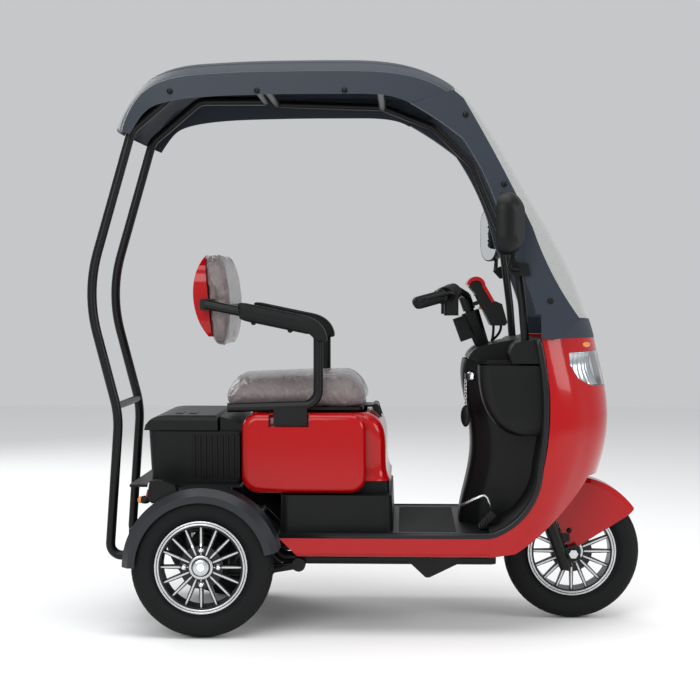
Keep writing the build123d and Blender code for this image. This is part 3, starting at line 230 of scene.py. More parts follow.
def lathe(name, profile, steps, material):
    # Turns (radius, y) points about the Y axis; the profile's last point joins its first
    count = len(profile)
    points = []
    for i in range(steps):
        a = 2 * math.pi * i / steps
        points += [(r * math.cos(a), y, r * math.sin(a)) for r, y in profile]
    faces = []
    for i in range(steps):
        j = (i + 1) % steps
        for k in range(count):
            m = (k + 1) % count
            faces.append((i * count + k, i * count + m, j * count + m, j * count + k))
    return outward(mesh_object(name, points, faces, material))


def slab(rings):
    # Closed block through a list of rings with equally many points
    n = len(rings[0])
    points = [p for ring in rings for p in ring]
    faces = [tuple(range(n - 1, -1, -1))]
    for start in range(0, len(points) - n, n):
        for k in range(n):
            m = (k + 1) % n
            faces.append((start + k, start + m, start + n + m, start + n + k))
    faces.append(tuple(range(len(points) - n, len(points))))
    return points, faces


def merged(blocks):
    points, faces = [], []
    for block_points, block_faces in blocks:
        n = len(points)
        points += block_points
        faces += [tuple(n + i for i in f) for f in block_faces]
    return points, faces


def copy_group(name):
    # Geometry nodes: sets a unit on each point, turned by the point's "turn", and makes it one mesh
    group = bpy.data.node_groups.new(name, "GeometryNodeTree")
    for socket, kind in (("Geometry", "Geometry"), ("Unit", "Object"), ("Material", "Material")):
        group.interface.new_socket(socket, in_out="INPUT", socket_type="NodeSocket" + kind)
    group.interface.new_socket("Geometry", in_out="OUTPUT", socket_type="NodeSocketGeometry")
    entry = add_node(group, "NodeGroupInput")
    unit = add_node(group, "GeometryNodeObjectInfo", {"Object": entry.outputs["Unit"]})
    turn = add_node(group, "GeometryNodeInputNamedAttribute", {"Name": "turn"}, data_type="FLOAT_VECTOR")
    copies = add_node(group, "GeometryNodeInstanceOnPoints", {
        "Points": entry.outputs["Geometry"], "Instance": unit.outputs["Geometry"],
        "Rotation": turn.outputs["Attribute"],
    })
    solid = add_node(group, "GeometryNodeRealizeInstances", {"Geometry": copies.outputs["Instances"]})
    coat = add_node(group, "GeometryNodeSetMaterial", {
        "Geometry": solid.outputs["Geometry"], "Material": entry.outputs["Material"],
    })
    add_node(group, "NodeGroupOutput", {"Geometry": coat.outputs["Geometry"]})
    return group


copy_on_spots = copy_group("copy_on_spots")


def set_copies(name, unit, spots, material):
    # One plain mesh of copies; spots: (place, turn about X, Y and Z); the unit is used up
    mesh = bpy.data.meshes.new(name)
    mesh.from_pydata([place for place, turn in spots], [], [])
    turns = mesh.attributes.new("turn", "FLOAT_VECTOR", "POINT")
    for i, (place, turn) in enumerate(spots):
        turns.data[i].vector = turn
    holder = link(bpy.data.objects.new(name, mesh))
    step = holder.modifiers.new("spread", "NODES")
    step.node_group = copy_on_spots
    values = {"Unit": unit, "Material": material}
    for item in copy_on_spots.interface.items_tree:
        if item.in_out == "INPUT" and item.name in values:
            step[item.identifier] = values[item.name]
    bpy.context.view_layer.update()
    seen = holder.evaluated_get(bpy.context.evaluated_depsgraph_get())
    result = bpy.data.meshes.new_from_object(seen)
    holder.modifiers.remove(step)
    holder.data = result
    bpy.data.objects.remove(unit)
    return holder


def round_copies(name, points, faces, count, material, smooth=False):
    # Copies of one block round the Y axis
    unit = outward(mesh_object(name + "_unit", points, faces, material, smooth))
    spots = [((0, 0, 0), (0, 2 * math.pi * i / count, 0)) for i in range(count)]
    return set_copies(name, unit, spots, material)


def join_objects(name, parts):
    # One mesh from several, each keeping its own material
    bpy.ops.object.select_all(action="DESELECT")
    for part in parts:
        part.select_set(True)
    bpy.context.view_layer.objects.active = parts[0]
    bpy.ops.object.join()
    parts[0].name = name
    return parts[0]


def set_on(obj, place=(0, 0, 0), flip=False):
    # Moves a mesh to its place, mirrored for the left side
    if flip:
        obj.data.transform(Matrix.Diagonal((1, -1, 1, 1)))
        obj.data.flip_normals()
    obj.data.transform(Matrix.Translation(place))
    return obj


def tread_block(y0, y1, a0, a1, low, skew):
    # Block between two widths and two angles, its foot at the radius low and its top on the crown
    rings = []
    for a in (a0, (a0 + a1) / 2, a1):
        ring = []
        for y, foot in ((y0, True), (y1, True), (y1, False), (y0, False)):
            r = low if foot else WHEEL_R - TREAD_SKIM - CROWN_DROP * (abs(y) / CROWN_HALF) ** 2
            b = a + skew * y
            ring.append((r * math.cos(b), y, r * math.sin(b)))
        rings.append(ring)
    return slab(rings)


tread_unit = merged([
    tread_block(y0, y1, start * TREAD_STEP, end * TREAD_STEP, low, skew)
    for y0, y1, start, end, low, skew in (
        (-0.0085, 0.0085, 0.0, 0.78, 0.192, 4.0),
        (0.0115, 0.0225, 0.3, 1.08, 0.192, -5.0),
        (-0.0225, -0.0115, 0.3, 1.08, 0.192, 5.0),
        (0.0250, 0.0330, 0.0, 0.66, 0.188, 0.0),
        (-0.0330, -0.0250, 0.0, 0.66, 0.188, 0.0),
    )
])
half_tyre = [
    (0.1265, 0.0255), (0.1350, 0.0296), (0.1400, 0.0318), (0.1445, 0.0335), (0.1450, 0.0347),
    (0.1500, 0.0362), (0.1510, 0.0372), (0.1620, 0.0393), (0.1720, 0.0399), (0.1800, 0.0394),
    (0.1880, 0.0372), (0.1935, 0.0335), (0.1975, 0.0250), (0.1998, 0.0120), (0.2005, 0.0),
]
tyre_section = half_tyre + [(r, -y) for r, y in reversed(half_tyre[:-1])]
outer_ring = [
    (0.1284, -0.0364), (0.1292, -0.0372), (0.1330, -0.0372),
    (0.1340, -0.0362), (0.1340, -0.0352), (0.1284, -0.0352),
]
inner_ring = [
    (0.1212, -0.0360), (0.1220, -0.0368), (0.1262, -0.0368),
    (0.1268, -0.0360), (0.1268, -0.0352), (0.1212, -0.0352),
]
hub_ring = [
    (0.026, -0.0306), (0.028, -0.0316), (0.0335, -0.0316),
    (0.0345, -0.0304), (0.0345, -0.0296), (0.026, -0.0296),
]
hub_cap = [
    (0.0, -0.0402), (0.014, -0.0400), (0.021, -0.0390),
    (0.0246, -0.0370), (0.0246, -0.0300), (0.0, -0.0300),
]
spoke_face = slab([
    [(r, low, -half), (r, low, half), (r, top, 0.7 * half), (r, top, -0.7 * half)]
    for r, low, top, half in (
        (0.0365, -0.0260, -0.0280, 0.0016), (0.0410, -0.0260, -0.0285, 0.0029),
        (0.0610, -0.0260, -0.0285, 0.0034), (0.0680, -0.0238, -0.0264, 0.0035),
        (0.1000, -0.0238, -0.0264, 0.0034), (0.1160, -0.0238, -0.0268, 0.0024),
    )
])
nut_rings = []
for r, y in (
    (0.0098, -0.0262), (0.0098, -0.0290), (0.0080, -0.0296),
    (0.0076, -0.0330), (0.0058, -0.0362), (0.0026, -0.0378),
):
    angles = [2 * math.pi * k / NUT_SIDES for k in range(NUT_SIDES)]
    nut_rings.append([(NUT_CIRCLE_R + r * math.cos(a), y, r * math.sin(a)) for a in angles])
for wheel, tyre_node, place, flip in (
    ("front_wheel", "front_tyre", (FRONT_AXLE_X, 0.0, WHEEL_R), False),
    ("rear_wheel_right", "rear_tyre_right", (REAR_AXLE_X, -REAR_WHEEL_Y, WHEEL_R), False),
    ("rear_wheel_left", "rear_tyre_left", (REAR_AXLE_X, REAR_WHEEL_Y, WHEEL_R), True),
):
    side = tyre_node.replace("_tyre", "")
    carcass = lathe(side + "_carcass", tyre_section, TURN_STEPS, tyre_rubber)
    tread = round_copies(side + "_tread", *tread_unit, TREAD_STEPS, tyre_rubber)
    tyre = set_on(join_objects(side + "_tyre_shown", [carcass, tread]), place, flip)
    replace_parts(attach(tyre, wheel), tyre_node)
    bright = [
        lathe(side + "_outer_ring", outer_ring, TURN_STEPS, machined_alloy),
        lathe(side + "_inner_ring", inner_ring, TURN_STEPS, machined_alloy),
        round_copies(side + "_spoke_faces", *spoke_face, SPOKES, machined_alloy),
        lathe(side + "_hub_ring", hub_ring, HUB_STEPS, machined_alloy),
    ]
    if wheel != "front_wheel":
        bright.append(round_copies(side + "_nuts", *slab(nut_rings), NUTS, chrome, True))
        bright.append(lathe(side + "_cap", hub_cap, CAP_STEPS, machined_alloy))
    trim = set_on(join_objects(side + "_bright_trim", bright), place, flip)
    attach(trim, wheel)

# Rear spring legs: a damper with an eye at each end inside one open coil of spring steel.
# They stand between the axle and the frame behind each wheel, held by a bolt at each end.
SHOCK_LOW = Vector((-0.476, -0.229, 0.233))
SHOCK_TOP = Vector((-0.425, -0.229, 0.418))
COIL_R = 0.0215
COIL_WIRE = 0.0042
COIL_TURNS = 7.5
COIL_START = 0.0385
COIL_LENGTH = 0.109
COIL_STEPS = 150
# Blued spring steel: dark with a half-metal sheen, rubbed in places
spring_steel = uneven(plain("blued_spring_steel", "#2b2d30", 0.32, Metallic=0.7), 4.0, 0.22, 0.45)


def hose(name, line, radius, sides, material):
    # Round tube with closed ends along a list of points
    rings = []
    side_way = None
    for i, here in enumerate(line):
        before, after = max(i - 1, 0), min(i + 1, len(line) - 1)
        ahead = (Vector(line[after]) - Vector(line[before])).normalized()
        if side_way is None:
            side_way = ahead.orthogonal().normalized()
        side_way = (side_way - ahead * side_way.dot(ahead)).normalized()
        other = ahead.cross(side_way)
        angles = [2 * math.pi * k / sides for k in range(sides)]
        rings.append([
            Vector(here) + side_way * radius * math.cos(a) + other * radius * math.sin(a) for a in angles
        ])
    return mesh_object(name, *slab(rings), material)


def on_axis(obj, start, way):
    # Stands a mesh turned about the Y axis on a point, its +Y along way
    turn = Vector((0, 1, 0)).rotation_difference(Vector(way)).to_matrix().to_4x4()
    obj.data.transform(Matrix.Translation(start) @ turn)
    return obj


shock_way = (SHOCK_TOP - SHOCK_LOW).normalized()
shock_length = (SHOCK_TOP - SHOCK_LOW).length
damper_section = [
    (0.0, 0.0), (0.0088, 0.0), (0.0088, 0.026), (0.0230, 0.028), (0.0230, 0.034), (0.0120, 0.036),
    (0.0120, 0.090), (0.0165, 0.092), (0.0165, 0.150), (0.0230, 0.152), (0.0230, 0.158),
    (0.0088, 0.160), (0.0088, shock_length), (0.0, shock_length),
]
coil_line = []
for i in range(COIL_STEPS + 1):
    a = 2 * math.pi * COIL_TURNS * i / COIL_STEPS
    coil_line.append((COIL_R * math.cos(a), COIL_START + COIL_LENGTH * i / COIL_STEPS, COIL_R * math.sin(a)))
shock_legs = []
for flip in (False, True):
    leg = join_objects("shock_leg", [
        lathe("damper", damper_section, 32, coated_steel),
        hose("coil", coil_line, COIL_WIRE, 10, spring_steel),
    ])
    shock_legs.append(set_on(on_axis(leg, SHOCK_LOW, shock_way), flip=flip))
shocks = join_objects("shock_absorbers_shown", shock_legs)
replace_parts(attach(shocks, "chassis"), "shock_absorbers")

# Body panels: injection-moulded plastic, gloss red outside and grained black inside.
# The roof and the screen pillars are satin dark grey mouldings; the rear fenders are darker still.

# Moulded red plastic: deep gloss with a slow waviness in its reflections
gloss_red = plain(
    "gloss_red_plastic", "#a00206", 0.16, Specular_IOR_Level=0.2, Coat_Weight=0.3, Coat_Roughness=0.04
)
grain(gloss_red, 16.0, 0.05, 1.0)
# Grained black plastic: dull black with a leathery texture
black_plastic = grain(plain("black_plastic", "#0b0c0d", 0.42, Specular_IOR_Level=0.2), 0.9, 0.05)
# Satin grey plastic: cool dark grey with broad soft highlights
grey_plastic = grain(plain("satin_grey_plastic", "#262d37", 0.48, Specular_IOR_Level=0.3), 1.0, 0.02)
# Satin fender plastic: near black, a little glossier than the roof
fender_plastic = grain(plain("satin_fender_plastic", "#171a1f", 0.34, Specular_IOR_Level=0.4), 1.4, 0.03)
paint(
    gloss_red, "front_fairing", "side_skirts", "seat_housing", "seat_side_panels", "backrest_shell",
    "headset_cowl", "front_fender",
)
paint(
    black_plastic, "leg_shield", "glove_pockets", "floor_board", "base_box", "rear_deck", "rear_box",
    "rear_box_lid", "mirrors", "instrument_panel", "battery_pack", "column_cover", "brake_levers",
    "tail_lamps",
)
paint(grey_plastic, "roof", "screen_surround")
paint(fender_plastic, "rear_fenders")

# Edge bead: a soft black strip clipped over the joint between red panels and the black inner shield.
# It runs from the dash down the leg shield and back along the floor on both sides.
BEAD_HALF = 0.0088
BEAD_FOOT_Y = 0.3178
BEAD_TOP_Y = 0.3222
# Extruded soft strip: black, smooth enough for one thin highlight
bead_black = grain(plain("satin_bead", "#111316", 0.28, Specular_IOR_Level=0.3), 3.0, 0.05)


def arc_points(first, middle, last, steps):
    # Points on the circle through three points in the XZ plane
    (x1, z1), (x2, z2), (x3, z3) = first, middle, last
    d = 2 * (x1 * (z2 - z3) + x2 * (z3 - z1) + x3 * (z1 - z2))
    s1, s2, s3 = x1 * x1 + z1 * z1, x2 * x2 + z2 * z2, x3 * x3 + z3 * z3
    cx = (s1 * (z2 - z3) + s2 * (z3 - z1) + s3 * (z1 - z2)) / d
    cz = (s1 * (x3 - x2) + s2 * (x1 - x3) + s3 * (x2 - x1)) / d
    r = math.hypot(x1 - cx, z1 - cz)
    a = [math.atan2(z - cz, x - cx) for x, z in (first, middle, last)]
    for i in (1, 2):
        while a[i] - a[i - 1] > math.pi:
            a[i] -= 2 * math.pi
        while a[i] - a[i - 1] < -math.pi:
            a[i] += 2 * math.pi
    angles = [a[0] + (a[2] - a[0]) * i / steps for i in range(steps + 1)]
    return [(cx + r * math.cos(b), cz + r * math.sin(b)) for b in angles]


def ribbon(name, line, half, y0, y1, material):
    # A low rounded strip along a line in the XZ plane, standing off from y0 to y1
    rings = []
    for i, (x, z) in enumerate(line):
        ax, az = line[max(i - 1, 0)]
        bx, bz = line[min(i + 1, len(line) - 1)]
        n = math.hypot(bx - ax, bz - az)
        nx, nz = -(bz - az) / n, (bx - ax) / n
        ring = []
        for side, out in ((-1, 0), (-0.8, 0.7), (-0.35, 1), (0.35, 1), (0.8, 0.7), (1, 0)):
            ring.append((x + nx * side * half, y0 + (y1 - y0) * out, z + nz * side * half))
        rings.append(ring)
    return outward(mesh_object(name, *slab(rings), material))


bead_line = arc_points((0.492, 0.858), (0.516, 0.634), (0.499, 0.488), 24)
bead_line += arc_points((0.499, 0.488), (0.452, 0.357), (0.371, 0.2985), 18)[1:]
bead_line += [(0.356, 0.2950), (0.330, 0.2937), (-0.250, 0.2937)]
for name, side in (("edge_bead_right", -1), ("edge_bead_left", 1)):
    bead = ribbon(name, bead_line, BEAD_HALF, side * BEAD_FOOT_Y, side * BEAD_TOP_Y, bead_black)
    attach(bead, "chassis")

# Skirt joints: a strip of black plastic behind the butt joint of side skirt and nose shell,
# glued to the skirt's inner face so that the seam shows dark.
JOINT_X = (0.344, 0.366)
JOINT_Y = (0.3125, 0.3155)
JOINT_Z = (0.236, 0.290)
for name, side in (("skirt_joint_right", -1), ("skirt_joint_left", 1)):
    rings = [
        [(JOINT_X[i], side * JOINT_Y[k], z) for i, k in ((0, 0), (1, 0), (1, 1), (0, 1))] for z in JOINT_Z
    ]
    joint = outward(mesh_object(name, *slab(rings), black_plastic, False))
    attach(joint, "chassis")

# Console cheeks: thin black plates that carry the console's side walls on to the leg shield.
# They are moulded with the shield; each runs on in the line of its wall.
CHEEK_LOW_Z = 0.405
CHEEK_TOP_Z = 0.640
CHEEK_STEPS = 12
CHEEK_WALL = 0.002
CHEEK_LAP = 0.010
CHEEK_SINK = 0.004
CHEEK_OFFSET = 0.0008
CONSOLE_NEAR_Y = 0.112
CONSOLE_FAR_Y = 0.134
SHIELD_Y = 0.240


def skin_of(*names):
    # The surfaces of some CAD nodes, to cast rays at
    points, faces = [], []
    for name in names:
        n = len(points)
        points += [v.co.copy() for v in nodes[name].data.vertices]
        faces += [tuple(n + i for i in f.vertices) for f in nodes[name].data.polygons]
    return BVHTree.FromPolygons(points, faces)


shield_skin = skin_of("leg_shield")
cheeks = []
for side in (-1, 1):
    rings = []
    for i in range(CHEEK_STEPS + 1):
        z = CHEEK_LOW_Z + (CHEEK_TOP_Z - CHEEK_LOW_Z) * i / CHEEK_STEPS
        near, far, end = (
            shield_skin.ray_cast(Vector((0.1, side * y, z)), Vector((1, 0, 0)))[0].x
            for y in (CONSOLE_NEAR_Y, CONSOLE_FAR_Y, SHIELD_Y)
        )
        lean = (CONSOLE_FAR_Y - CONSOLE_NEAR_Y) / max(far - near, 0.02)
        outer = [
            (x, CONSOLE_FAR_Y + lean * (x - far) + CHEEK_OFFSET) for x in (far - CHEEK_LAP, end + CHEEK_SINK)
        ]
        inner = [(x, y - CHEEK_WALL) for x, y in reversed(outer)]
        rings.append([(x, side * y, z) for x, y in outer + inner])
    cheeks.append(outward(mesh_object("console_cheek", *slab(rings), black_plastic, False)))
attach(join_objects("console_cheeks", cheeks), "chassis")

# Floor: a moulded black board with lengthways grip ribs under the rider's feet.
# The ribs are part of the same moulding, each a low bar with sloping sides.
MAT_REAR_X = 0.095
MAT_FRONT_X = 0.262
MAT_Z = 0.2988
MAT_PITCH = 0.012
MAT_ROWS = 44
rib_ring = [(-0.0022, 0.0), (0.0022, 0.0), (0.0014, 0.0018), (-0.0014, 0.0018)]
rib = slab([[(x, y, z) for y, z in rib_ring] for x in (MAT_REAR_X, MAT_FRONT_X)])
rib_unit = mesh_object("rib_unit", *rib, black_plastic, False)
mat_spots = [((0, MAT_PITCH * (i - (MAT_ROWS - 1) / 2), MAT_Z), NO_TURN) for i in range(MAT_ROWS)]
mat_ribs = set_copies("floor_ribs", rib_unit, mat_spots, black_plastic)
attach(mat_ribs, "chassis")

# Rear box: a black moulded bin with upright stiffening ribs on its flanks.
# Two raised finger grips are moulded on the right half of the hinged lid.
RIB_FIRST_X = -0.508
RIB_PITCH = 0.0165
RIB_COUNT = 9
RIB_FOOT = 0.0045
RIB_TOP = 0.003
RIB_STAND = 0.0045
FLANK = ((0.447, 0.2024), (0.573, 0.2091))  # height, half width of the box
GRIP_X = (-0.560, -0.520)
GRIP_Y = -0.1175
GRIP_STEPS = ((0.012, 0.0325, 0.6305), (0.009, 0.0295, 0.6335))  # half length, half width, height
flank = []
for side in (-1, 1):
    rings = []
    for z, half in FLANK:
        foot, top = side * half, side * (half + RIB_STAND)
        ring = [(-RIB_FOOT, foot, z), (RIB_FOOT, foot, z), (RIB_TOP, top, z), (-RIB_TOP, top, z)]
        rings.append(ring if side < 0 else ring[::-1])
    flank.append(slab(rings))
flank_unit = outward(mesh_object("flank_unit", *merged(flank), black_plastic, False))
box_spots = [((RIB_FIRST_X + RIB_PITCH * i, 0, 0), NO_TURN) for i in range(RIB_COUNT)]
box_ribs = set_copies("rear_box_ribs", flank_unit, box_spots, black_plastic)
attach(box_ribs, "chassis")
grip_blocks = []
for x in GRIP_X:
    grip_blocks.append(slab([
        [(x - a, GRIP_Y - b, z), (x + a, GRIP_Y - b, z), (x + a, GRIP_Y + b, z), (x - a, GRIP_Y + b, z)]
        for a, b, z in GRIP_STEPS
    ]))
lid_grip = outward(mesh_object("lid_finger_grip", *merged(grip_blocks), black_plastic, False))
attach(lid_grip, "box_lid")

# Tail lamps: black pods on the fenders, each with a red lens over a clear one pressed on its back.
# A small amber signal stands on a black plastic foot under each pod.
POD_Y = (0.303, 0.343)
POD_LOW = (-0.6260, 0.402)
POD_TOP = (-0.6180, 0.452)
LENS_SINK = 0.001
LENS_STAND = 0.0045
LENS_EDGE = 0.003
SIGNAL_FOOT_X = -0.634
SIGNAL_LENS_X = -0.647
SIGNAL_Y = 0.330
SIGNAL_Z = 0.397
PEBBLE_RINGS = 8
PEBBLE_STEPS = 16
# Moulded red acrylic: glossy, its small prisms drawn 4 mm wide so that their glitter shows
tail_red = grain(plain("red_lens", "#a01014", 0.12, Coat_Weight=0.5), 4.0, 0.4, 0.0)
# Moulded clear acrylic over a bright back: pale silver, pebbled
tail_clear = grain(plain("clear_tail_lens", "#d9dcde", 0.08, Coat_Weight=0.5), 4.0, 0.4, 0.0)
# Moulded amber acrylic: warm orange, pebbled
amber = grain(plain("amber_lens", "#d97a10", 0.15, Coat_Weight=0.5), 4.0, 0.4, 0.0)


def pod_lens(name, side, share0, share1, material):
    # Lens on the sloping back of the pod, between two shares of its height
    base, face = [], []
    for share, y in ((share0, 0), (share0, 1), (share1, 1), (share1, 0)):
        x = POD_LOW[0] + (POD_TOP[0] - POD_LOW[0]) * share
        z = POD_LOW[1] + (POD_TOP[1] - POD_LOW[1]) * share
        inner = LENS_EDGE if y == 0 else -LENS_EDGE
        rise = LENS_EDGE if share == share0 else -LENS_EDGE
        base.append((x + LENS_SINK, side * POD_Y[y], z))
        face.append((x - LENS_STAND, side * (POD_Y[y] + inner), z + rise))
    return outward(mesh_object(name, *slab([base, face]), material, False))


def pointed(rings, first, last):
    # Closed block through a list of rings, drawn to a point at each end
    points, faces = slab(rings)
    faces = faces[1:-1]
    low, top = len(points), len(points) + 1
    n = len(rings[0])
    for k in range(n):
        m = (k + 1) % n
        faces.append((low, m, k))
        faces.append((top, low - n + k, low - n + m))
    return points + [first, last], faces


def pebble(name, centre, axes, material):
    # Ellipsoid on three half-axis vectors
    u, v, w = (Vector(x) for x in axes)
    middle = Vector(centre)
    rings = []
    for j in range(1, PEBBLE_RINGS):
        b = math.pi * j / PEBBLE_RINGS
        angles = [2 * math.pi * i / PEBBLE_STEPS for i in range(PEBBLE_STEPS)]
        rings.append([
            middle + (u * math.cos(a) + v * math.sin(a)) * math.sin(b) + w * math.cos(b) for a in angles
        ])
    return outward(mesh_object(name, *pointed(rings, middle + w, middle - w), material))


def square_axes(x, y, z):
    return (x, 0, 0), (0, y, 0), (0, 0, z)


for side, word in ((-1, "right"), (1, "left")):
    foot_spot = (SIGNAL_FOOT_X, side * SIGNAL_Y, SIGNAL_Z)
    lens_spot = (SIGNAL_LENS_X, side * SIGNAL_Y, SIGNAL_Z)
    lenses = [
        pod_lens("stop_lens", side, 0.06, 0.55, tail_red),
        pod_lens("reverse_lens", side, 0.58, 0.95, tail_clear),
        pebble("signal_body", foot_spot, square_axes(0.018, 0.014, 0.012), black_plastic),
        pebble("signal_lens", lens_spot, square_axes(0.008, 0.012, 0.010), amber),
    ]
    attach(join_objects("tail_lenses_" + word, lenses), "chassis")

# Roof swages: two low ribs that stiffen the grey plastic roof where its crown begins.
# They are moulded in the skin and run out into it at both ends.
SWAGE_Y = 0.1965
SWAGE_REAR_X = -0.640
SWAGE_FRONT_X = 0.196
SWAGE_R = 0.0042
SWAGE_STEPS = 60
SWAGE_RUN_OUT = 6
SWAGE_STAND = 0.55
SWAGE_HALF = 0.006
ABOVE_ROOF = 2.0
roof_skin = skin_of("roof")
swages = []
for side in (-1, 1):
    line = []
    for i in range(SWAGE_STEPS + 1):
        x = SWAGE_REAR_X + (SWAGE_FRONT_X - SWAGE_REAR_X) * i / SWAGE_STEPS
        spots = [
            roof_skin.ray_cast(Vector((x, side * (SWAGE_Y + d), ABOVE_ROOF)), Vector((0, 0, -1)))[0]
            for d in (-SWAGE_HALF, SWAGE_HALF)
        ]
        end_share = min(1.0, min(i, SWAGE_STEPS - i) / SWAGE_RUN_OUT)
        sink = Vector((0, 0, -SWAGE_R * (1.0 - SWAGE_STAND * end_share)))
        line.append((spots[0] + spots[1]) / 2 + sink)
    swages.append(hose("roof_swage", line, SWAGE_R, 12, grey_plastic))
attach(join_objects("roof_swages", swages), "chassis")

# Screen: one bowed sheet of clear polycarbonate, held by three dome screws down each pillar.
# Three more screws on each side hold the edge of the roof to its frame.
PILLAR_Y = -0.3160
PILLAR_SCREWS = ((0.284, 1.497), (0.394, 1.300), (0.526, 0.968))  # x, z
ROOF_EDGE_Y = -0.3176
ROOF_SCREW_Z = 1.567
ROOF_SCREW_X = (-0.560, -0.310, -0.060)
DOME_STEPS = 16
DOME_SINK = 0.001
# Clear sheet: see-through with a faint greenish tint and sharp reflections
clear_sheet = plain("clear_polycarbonate", "#9aa091", 0.04, Alpha=0.11)
# Black zinc: dark metal sheen, worn brighter in spots
screw_black = uneven(plain("black_zinc_screw", "#1a1b1d", 0.3, Metallic=0.8), 3.0, 0.24, 0.42)
paint(clear_sheet, "windscreen")


def dome(radius, height):
    # Screw head: a low dome on a short collar, standing on the XY plane
    angles = [2 * math.pi * i / DOME_STEPS for i in range(DOME_STEPS)]
    rings = [
        [(share * radius * math.cos(a), share * radius * math.sin(a), z) for a in angles]
        for share, z in ((1.0, -DOME_SINK), (1.0, 0.25 * height), (0.9, 0.55 * height), (0.6, 0.9 * height))
    ]
    head = pointed(rings, (0, 0, -DOME_SINK), (0, 0, height))
    return mesh_object("screw_unit", *head, screw_black)


def screw_spots(places, way):
    # Spots on the right side and their mirror images, each with +Z turned to way
    spots = []
    for side in (1, -1):
        turn = Vector((way[0], side * way[1], way[2])).to_track_quat("Z", "Y").to_euler()
        spots += [((x, side * y, z), turn) for x, y, z in places]
    return spots


screw_places = [(x, PILLAR_Y, z) for x, z in PILLAR_SCREWS]
screw_places += [(x, ROOF_EDGE_Y, ROOF_SCREW_Z) for x in ROOF_SCREW_X]
body_spots = screw_spots(screw_places, (0, -1, 0))
body_screws = set_copies("screen_and_roof_screws", dome(0.0085, 0.006), body_spots, screw_black)
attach(body_screws, "chassis")

# Headlamps: clear moulded lenses let into the fairing over fluted bright reflectors.
# A small amber marker is pressed into the shell above each one.
LAMP_EYE = (0.46, 0.05)  # x, y from which rays find the nose's inner face
LAMP_LOW_Z = 0.716
LAMP_RISE = 0.110
LAMP_FAN = (14, 62)  # degrees: start, span
BOWL_ACROSS = 60
BOWL_UP = 8
BOWL_BACK = 0.012
BOWL_DEPTH = 0.014
BOWL_WALL = 0.0015
FLUTE_DEPTH = 0.006
FLUTE_STEPS = 6
MARKER_Z = 0.840
MARKER_ANGLE = math.radians(38)
MARKER_HALF = (0.020, 0.007, 0.008)
MARKER_STAND = 0.004
# Clear lens: water-clear with sharp highlights
lamp_lens = plain("lamp_lens", "#f2f5f6", 0.03, Transmission_Weight=0.97, IOR=1.15)
# Aluminised plastic: a bright mirror, slightly hazy
reflector = plain("aluminised_reflector", "#d2d5d8", 0.16, Metallic=1.0)
paint(lamp_lens, "headlamps")
nose_skin = skin_of("headlamps", "front_fairing")


def nose_hit(side, angle, z):
    # The way at an angle from straight ahead, and where it meets the nose from inside
    way = Vector((math.cos(angle), side * math.sin(angle), 0))
    return way, nose_skin.ray_cast(Vector((LAMP_EYE[0], side * LAMP_EYE[1], z)), way)[0]


def reflector_bowl(name, side):
    # Fluted wall a little behind the lens
    points = []
    for j in range(BOWL_UP + 1):
        z = LAMP_LOW_Z + LAMP_RISE * j / BOWL_UP
        for i in range(BOWL_ACROSS + 1):
            way, hit = nose_hit(side, math.radians(LAMP_FAN[0] + LAMP_FAN[1] * i / BOWL_ACROSS), z)
            flute = FLUTE_DEPTH * abs(math.sin(math.pi * i / FLUTE_STEPS))
            bowl = BOWL_DEPTH * math.sin(math.pi * j / BOWL_UP)
            points.append(hit - way * (BOWL_BACK + flute + bowl))
    wide = BOWL_ACROSS + 1
    faces = [
        (j * wide + i, j * wide + i + 1, (j + 1) * wide + i + 1, (j + 1) * wide + i)
        for j in range(BOWL_UP) for i in range(BOWL_ACROSS)
    ]
    obj = mesh_object(name, points, faces, reflector)
    skin = obj.modifiers.new("thick", "SOLIDIFY")
    skin.thickness = BOWL_WALL
    bpy.context.view_layer.objects.active = obj
    bpy.ops.object.modifier_apply(modifier="thick")
    return outward(obj)


for side, word in ((-1, "right"), (1, "left")):
    bowl = reflector_bowl("lamp_reflector_" + word, side)
    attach(bowl, "chassis")
    way, spot = nose_hit(side, MARKER_ANGLE, MARKER_Z)
    along = Vector((-way.y, way.x, 0))
    marker_axes = (along * MARKER_HALF[0], way * MARKER_HALF[1], (0, 0, MARKER_HALF[2]))
    marker = pebble("amber_marker_" + word, spot + way * MARKER_STAND, marker_axes, amber)
    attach(marker, "chassis")

# Dash tray: a flat black moulding that closes the top of the nose between leg shield and screen.
# It drops in on the shell's inner wall, which is found by a fan of rays.
TRAY_Z = 0.851
TRAY_WALL = 0.003
TRAY_REAR_X = 0.494
TRAY_GAP = 0.001
TRAY_EYE = Vector((0.510, 0.0, TRAY_Z))
tray_plan = []
for degrees in range(-88, 89, 4):
    a = math.radians(degrees)
    way = Vector((math.cos(a), math.sin(a), 0))
    spot = nose_skin.ray_cast(TRAY_EYE, way)[0] - way * TRAY_GAP
    tray_plan.append((spot.x, spot.y))
tray_plan = [(TRAY_REAR_X, tray_plan[0][1])] + tray_plan + [(TRAY_REAR_X, tray_plan[-1][1])]
tray = slab([[(x, y, z) for x, y in tray_plan] for z in (TRAY_Z - TRAY_WALL, TRAY_Z)])
dash_tray = outward(mesh_object("dash_tray", *tray, black_plastic, False))
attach(dash_tray, "chassis")

# Seat and backrest: foam under taupe artificial leather, still in their wrinkled clear shipping film.
# Each pad is blown up a little from its plain solid by cloth pressure, so the cover sits taut and crowned.
FILM_FOLDS = (38.0, 38.0, 20.0)  # folds of about 26 mm across and 50 mm upwards
FILM_DEPTH = 0.022
FOAM_FRAMES = 20
SIDE_FALL = 0.026
BACK_FALL = 0.014
FRONT_PULL = 0.026
FRONT_SHARE = 0.7
